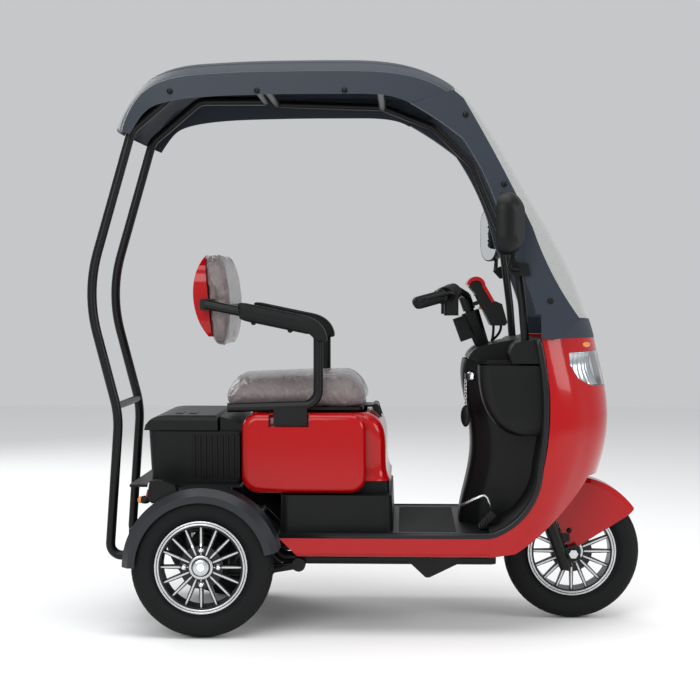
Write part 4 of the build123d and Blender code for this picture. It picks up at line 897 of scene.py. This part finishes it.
# Artificial leather: warm grey-brown and dull, under a film whose folds catch sharp glints
taupe_leather = grain(plain("taupe_leather", "#695e5e", 0.45, Specular_IOR_Level=0.3), 1.6, 0.08)
tree = taupe_leather.node_tree
cover = tree.nodes["Principled BSDF"].inputs
film_place = add_node(tree, "ShaderNodeTexCoord").outputs["Object"]
film_long = add_node(tree, "ShaderNodeMapping", {"Vector": film_place, "Scale": FILM_FOLDS}).outputs["Vector"]
film_fold = add_node(
    tree, "ShaderNodeTexNoise", {"Vector": film_long, "Scale": 1.0, "Detail": 4.0, "Distortion": 1.6}
).outputs["Fac"]
film_bump = add_node(tree, "ShaderNodeBump", {"Height": film_fold, "Distance": FILM_DEPTH, "Strength": 1.0})
tree.links.new(film_bump.outputs["Normal"], cover["Coat Normal"])
cover["Coat Weight"].default_value = 1.0
cover["Coat Roughness"].default_value = 0.05
# Soft rubber: matt black with hardly any highlight
soft_rubber = grain(plain("soft_rubber", "#0c0d0e", 0.55, Specular_IOR_Level=0.2), 0.8, 0.05)
paint(taupe_leather, "seat_cushion", "backrest_pad")
paint(soft_rubber, "grips", "column_gaiter", "armrest_pads", "control_cables")


def blown_pad(name, node, voxel, pressure, cap, material, form=None):
    # Voxel remesh of the CAD solid, swelled by cloth pressure and held within cap of its start
    obj = link(bpy.data.objects.new(name, nodes[node].data.copy()))
    bpy.context.view_layer.objects.active = obj
    bpy.ops.object.select_all(action="DESELECT")
    obj.select_set(True)
    remesh = obj.modifiers.new("even", "REMESH")
    remesh.mode = "VOXEL"
    remesh.voxel_size = voxel
    bpy.ops.object.modifier_apply(modifier="even")
    soften = obj.modifiers.new("soften", "SMOOTH")
    soften.iterations = 12
    soften.factor = 0.5
    bpy.ops.object.modifier_apply(modifier="soften")
    if form:
        for v in obj.data.vertices:
            v.co = form(v.co)
    start = [v.co.copy() for v in obj.data.vertices]
    cloth = obj.modifiers.new("swell", "CLOTH")
    cloth.settings.quality = 6
    cloth.settings.use_pressure = True
    cloth.settings.uniform_pressure_force = pressure
    cloth.settings.effector_weights.gravity = 0.0
    cloth.point_cache.frame_start = 1
    cloth.point_cache.frame_end = FOAM_FRAMES
    for step in range(1, FOAM_FRAMES + 1):
        scene.frame_set(step)
    bpy.ops.object.modifier_apply(modifier="swell")
    scene.frame_set(1)
    for v, home in zip(obj.data.vertices, start):
        move = v.co - home
        if move.length > cap:
            v.co = home + move.normalized() * cap
    obj.data.polygons.foreach_set("use_smooth", [True] * len(obj.data.polygons))
    obj.data.materials.clear()
    obj.data.materials.append(material)
    return obj


cushion_low, cushion_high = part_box("seat_cushion")


def saddle(spot):
    # The cushion's cut: crowned across, lower at the back, its front edge falling away
    along = (spot.x - cushion_low.x) / (cushion_high.x - cushion_low.x)
    across = abs(spot.y) / cushion_high.y
    up = max(0.0, (spot.z - cushion_low.z) / (cushion_high.z - cushion_low.z))
    drop = SIDE_FALL * across ** 3 + BACK_FALL * max(0.0, 1.0 - along) ** 2
    pull = FRONT_PULL * up * up * max(0.0, (along - FRONT_SHARE) / (1.0 - FRONT_SHARE))
    return Vector((spot.x - pull, spot.y, spot.z - drop * up))


cushion = blown_pad("seat_cushion_shown", "seat_cushion", 0.006, 4.0, 0.008, taupe_leather, saddle)
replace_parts(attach(cushion, "seat"), "seat_cushion")
back_pad = blown_pad("backrest_pad_shown", "backrest_pad", 0.005, 4.0, 0.007, taupe_leather)
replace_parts(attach(back_pad, "seat"), "backrest_pad")

# Arm pads: self-skinned foam rubber moulded round the tubes, its edges soft and rounded.
# Two dome screws from below hold each pad to its tube.
PAD_SCREWS = ((-0.329, -0.240, 0.9060), (-0.222, -0.240, 0.8838))
arm_pads = blown_pad("armrest_pads_shown", "armrest_pads", 0.004, 2.0, 0.002, soft_rubber)
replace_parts(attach(arm_pads, "seat"), "armrest_pads")
pad_spots = screw_spots(PAD_SCREWS, (0.2, 0, -0.98))
pad_screws = set_copies("arm_pad_screws", dome(0.008, 0.009), pad_spots, screw_black)
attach(pad_screws, "seat")

# Front fender screws: one black dome screw on each side of the front fender.
# They hold the red moulding to the fork legs and turn with them.
FENDER_SCREWS = ((0.610, -0.0520, 0.273),)
fender_spots = screw_spots(FENDER_SCREWS, (0, -1, 0))
fender_screws = set_copies("front_fender_screws", dome(0.008, 0.006), fender_spots, screw_black)
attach(fender_screws, "steering")

# Grips: ribbed rubber sleeves with an inner flange and a rounded end.
# They are moulded in one piece and pushed over the ends of the handlebar.
GRIP_END = Vector((0.1500, -0.3053, 0.9615))
GRIP_START = Vector((0.2220, -0.2226, 0.9810))
GRIP_RIBS = 18
GRIP_PITCH = 0.0052
grip_way = (GRIP_START - GRIP_END).normalized()
grip_section = [(0.0, -0.0062), (0.011, -0.0060), (0.0160, -0.0035), (0.0168, 0.0)]
for i in range(GRIP_RIBS):
    y = 0.006 + GRIP_PITCH * i
    grip_section += [(0.0164, y), (0.0178, y + 0.0012), (0.0178, y + 0.0030), (0.0164, y + 0.0042)]
grip_section += [
    (0.0168, 0.102), (0.0215, 0.104), (0.0215, 0.109), (0.0168, 0.112), (0.0114, 0.1128), (0.0114, 0.004),
    (0.0, 0.004),
]
sleeves = []
for flip in (False, True):
    sleeve = on_axis(lathe("grip_sleeve", grip_section, 40, soft_rubber), GRIP_END, grip_way)
    sleeves.append(set_on(sleeve, flip=flip))
grips = join_objects("grips_shown", sleeves)
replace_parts(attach(grips, "steering"), "grips")

# Instrument panel: a dark display in a raised frame facing the rider, with three tell-tales under it.
# The frame is clipped to the pod; the display is glass and the tell-tales are coloured lenses.
PANEL_MID = Vector((0.3370, 0.0, 0.9640))
PANEL_UP = Vector((-0.447, 0.0, 0.894))
PANEL_OUT = Vector((-0.894, 0.0, -0.447))
PANEL_BEVEL = 0.002
TELL_R = 0.004
TELL_DOWN = 0.020
TELL_STAND = 0.003
# Display glass: black, glossy as a still pool
display_glass = plain("display_glass", "#05070a", 0.06, Coat_Weight=1.0)
# Green lens: an unlit tell-tale, plain and glossy
tell_green = plain("green_tell_tale", "#1f8f3a", 0.2)


def panel_plate(name, half_y, low, high, out0, out1, material):
    # Plate with sloping edges on the panel's face, between two heights above it
    rings = []
    for out, bevel in ((out0, 0.0), (out1, PANEL_BEVEL)):
        half, foot, head = half_y - bevel, low + bevel, high - bevel
        ring = []
        for y, up in ((-half, foot), (half, foot), (half, head), (-half, head)):
            spot = PANEL_MID + PANEL_UP * up + PANEL_OUT * out
            ring.append((spot.x, y, spot.z))
        rings.append(ring)
    return outward(mesh_object(name, *slab(rings), material, False))


dash_pieces = [
    panel_plate("display_frame", 0.056, -0.026, 0.026, -0.001, 0.003, black_plastic),
    panel_plate("display", 0.050, -0.014, 0.022, 0.002, 0.0045, display_glass),
]
tell_spot = PANEL_MID - PANEL_UP * TELL_DOWN + PANEL_OUT * TELL_STAND
for y, glow in ((-0.03, amber), (0.0, tell_green), (0.03, tail_red)):
    tell_axes = square_axes(TELL_R, TELL_R, TELL_R)
    dash_pieces.append(pebble("tell_tale", (tell_spot.x, y, tell_spot.z), tell_axes, glow))
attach(join_objects("instrument_display", dash_pieces), "steering")

# Mirrors: bulbous black housings on bent stalks, turned in towards the rider, with flat oval glasses.
# The housing is swung about its glass and the top of the stalk follows.
GLASS_MID = Vector((0.388, -0.400, 1.184))
GLASS_ACROSS = Vector((0.454, 0.891, 0.0))
GLASS_OUT = Vector((-0.891, 0.454, 0.0))
GLASS_HALF = (0.050, 0.084)
GLASS_CORNER = 0.047
GLASS_FACES = (-0.001, 0.0012)
GLASS_STEPS = 48
SWING = math.radians(-54)
SWING_LOW_Z = 1.066
SWING_TOP_Z = 1.100
STALK_FOOT_Y = 0.345
# Silvered glass: a clean mirror
mirror_silver = plain("silvered_glass", "#e9ecee", 0.02, Metallic=1.0)


def swung_mirrors(name):
    # The CAD housings, each turned about the upright line through its glass
    mesh = nodes["mirrors"].data.copy()
    shape = bmesh.new()
    shape.from_mesh(mesh)
    bmesh.ops.remove_doubles(shape, verts=shape.verts, dist=1e-6)
    for v in shape.verts:
        if abs(v.co.y) < STALK_FOOT_Y:
            continue
        share = min(1.0, max(0.0, (v.co.z - SWING_LOW_Z) / (SWING_TOP_Z - SWING_LOW_Z)))
        share = share * share * (3 - 2 * share)
        side = math.copysign(1.0, -v.co.y)
        pivot = Vector((GLASS_MID.x, side * GLASS_MID.y, 0))
        v.co = pivot + Matrix.Rotation(side * SWING * share, 3, "Z") @ (v.co - pivot)
    bmesh.ops.recalc_face_normals(shape, faces=shape.faces)
    shape.to_mesh(mesh)
    shape.free()
    mesh.materials.clear()
    mesh.materials.append(black_plastic)
    return link(bpy.data.objects.new(name, mesh))


oval = []
for i in range(GLASS_STEPS):
    a = 2 * math.pi * i / GLASS_STEPS
    u = math.copysign(GLASS_HALF[0] - GLASS_CORNER, math.cos(a)) + GLASS_CORNER * math.cos(a)
    w = math.copysign(GLASS_HALF[1] - GLASS_CORNER, math.sin(a)) + GLASS_CORNER * math.sin(a)
    oval.append(GLASS_MID + GLASS_ACROSS * u + Vector((0, 0, w)))
glass_block = slab([[spot + GLASS_OUT * d for spot in oval] for d in GLASS_FACES])
glasses = []
for flip in (False, True):
    glass = outward(mesh_object("mirror_glass", *glass_block, mirror_silver, False))
    glasses.append(set_on(glass, flip=flip))
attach(join_objects("mirror_glasses", glasses), "chassis")
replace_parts(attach(swung_mirrors("mirrors_shown"), "chassis"), "mirrors")

# Control cables: two rubber-covered cables from under the instrument pod down into the column.
# Each is held at both ends and hangs in a slight bow between them.
CABLE_D = 0.008
RIGHT_ROUTE = ((0.3810, -0.0200, 0.8926), (0.3820, -0.0200, 0.8660), (0.3763, -0.0140, 0.8447))
LEFT_ROUTE = ((0.4060, 0.0160, 0.8926), (0.4080, 0.0160, 0.8680), (0.3778, 0.0120, 0.8463))
CABLES = (("right_cable", 0.0486, RIGHT_ROUTE), ("left_cable", 0.0570, LEFT_ROUTE))
for cable_name, cable_length, route in CABLES:
    curve = bpy.data.curves.new(cable_name, "CURVE")
    curve.dimensions = "3D"
    curve.bevel_depth = CABLE_D / 2
    curve.bevel_resolution = 4
    curve.use_fill_caps = True
    spline = curve.splines.new("NURBS")
    spline.points.add(len(route) - 1)
    for knot, spot in zip(spline.points, route):
        knot.co = (*spot, 1.0)
    spline.order_u = 3
    spline.use_endpoint_u = True
    spline.resolution_u = 12
    curve.materials.append(soft_rubber)
    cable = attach(link(bpy.data.objects.new(cable_name, curve)), "steering")
    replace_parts(cable, "control_cables")

# Ignition lock: a chromed barrel on the right of the column console, with the steel key in it.
# A plastic fob hangs from the key on a short chain of plated wire links.
LOCK = Vector((0.3115, -0.1060, 0.743))
LOCK_OUT = Vector((-0.6, -0.8, 0.0))
LOCK_SIDE = Vector((0.8, -0.6, 0.0))
KEY_REACH = (0.008, 0.034)
KEY_HALF = (0.001, 0.009)
LINKS = 8
LINK_STEP = 0.0095
LINK_HALF = (0.0034, 0.0066)
LINK_WIRE = 0.0011
LINK_POINTS = 20
KEY_EYE = 0.031
CHAIN_DROP = 0.012
FOB_DROP = 0.030
FOB_HALF = (0.017, 0.008, 0.033)
lock_section = [
    (0.0, -0.002), (0.0150, -0.002), (0.0150, 0.004), (0.0125, 0.007), (0.0110, 0.0085), (0.0, 0.0085),
]
key_rings = [
    [
        LOCK + LOCK_OUT * out + LOCK_SIDE * KEY_HALF[0] * k + Vector((0, 0, KEY_HALF[1] * m))
        for k, m in ((-1, -1), (1, -1), (1, 1), (-1, 1))
    ]
    for out in KEY_REACH
]
key_pieces = [
    on_axis(lathe("lock_barrel", lock_section, 32, chrome), LOCK, LOCK_OUT),
    outward(mesh_object("key_blade", *slab(key_rings), bright_steel, False)),
]
chain_top = LOCK + LOCK_OUT * KEY_EYE + Vector((0, 0, -CHAIN_DROP))
for first, wide in ((0, LOCK_OUT), (1, LOCK_SIDE)):
    loop = []
    for k in range(LINK_POINTS + 1):
        a = 2 * math.pi * k / LINK_POINTS
        loop.append(wide * LINK_HALF[0] * math.cos(a) + Vector((0, 0, LINK_HALF[1] * math.sin(a))))
    link_unit = hose("link_unit", loop, LINK_WIRE, 8, chrome)
    link_spots = [(chain_top + Vector((0, 0, -LINK_STEP * i)), NO_TURN) for i in range(first, LINKS, 2)]
    key_pieces.append(set_copies("chain_links", link_unit, link_spots, chrome))
fob_mid = chain_top + Vector((0, 0, -LINK_STEP * LINKS - FOB_DROP))
fob_axes = (LOCK_SIDE * FOB_HALF[0], LOCK_OUT * FOB_HALF[1], (0, 0, FOB_HALF[2]))
key_pieces.append(pebble("fob", fob_mid, fob_axes, black_plastic))
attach(join_objects("ignition_key", key_pieces), "chassis")

# Brake pedal: a black steel pad with rubber tread bars moulded across it.
# A parking latch, bent from bright steel rod, is hooked over the pedal from above.
PAD_LOW = Vector((0.3300, 0.0, 0.3060))
PAD_TOP = Vector((0.3700, 0.0, 0.3520))
BAR_Y = (-0.237, -0.173)
BAR_FIRST = 0.006
BAR_PITCH = 0.0098
BAR_COUNT = 6
LATCH_R = 0.0046
LATCH = (
    (0.2770, -0.186, 0.3640), (0.3380, -0.186, 0.3930), (0.3470, -0.186, 0.3950),
    (0.3560, -0.188, 0.3880), (0.3700, -0.196, 0.3490),
)
pad_up = (PAD_TOP - PAD_LOW).normalized()
pad_out = Vector((-pad_up.z, 0.0, pad_up.x))
bar_ring = [
    pad_up * up + pad_out * out
    for up, out in ((-0.0028, -0.0006), (0.0028, -0.0006), (0.0018, 0.003), (-0.0018, 0.003))
]
bar = slab([[spot + Vector((0, y, 0)) for spot in bar_ring] for y in BAR_Y])
bar_unit = outward(mesh_object("bar_unit", *bar, soft_rubber, False))
bar_spots = [(PAD_LOW + pad_up * (BAR_FIRST + BAR_PITCH * i), NO_TURN) for i in range(BAR_COUNT)]
latch = hose("parking_latch", LATCH, LATCH_R, 12, bright_steel)
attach(latch, "chassis")
pedal_bars = set_copies("pedal_tread", bar_unit, bar_spots, soft_rubber)
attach(pedal_bars, "chassis")
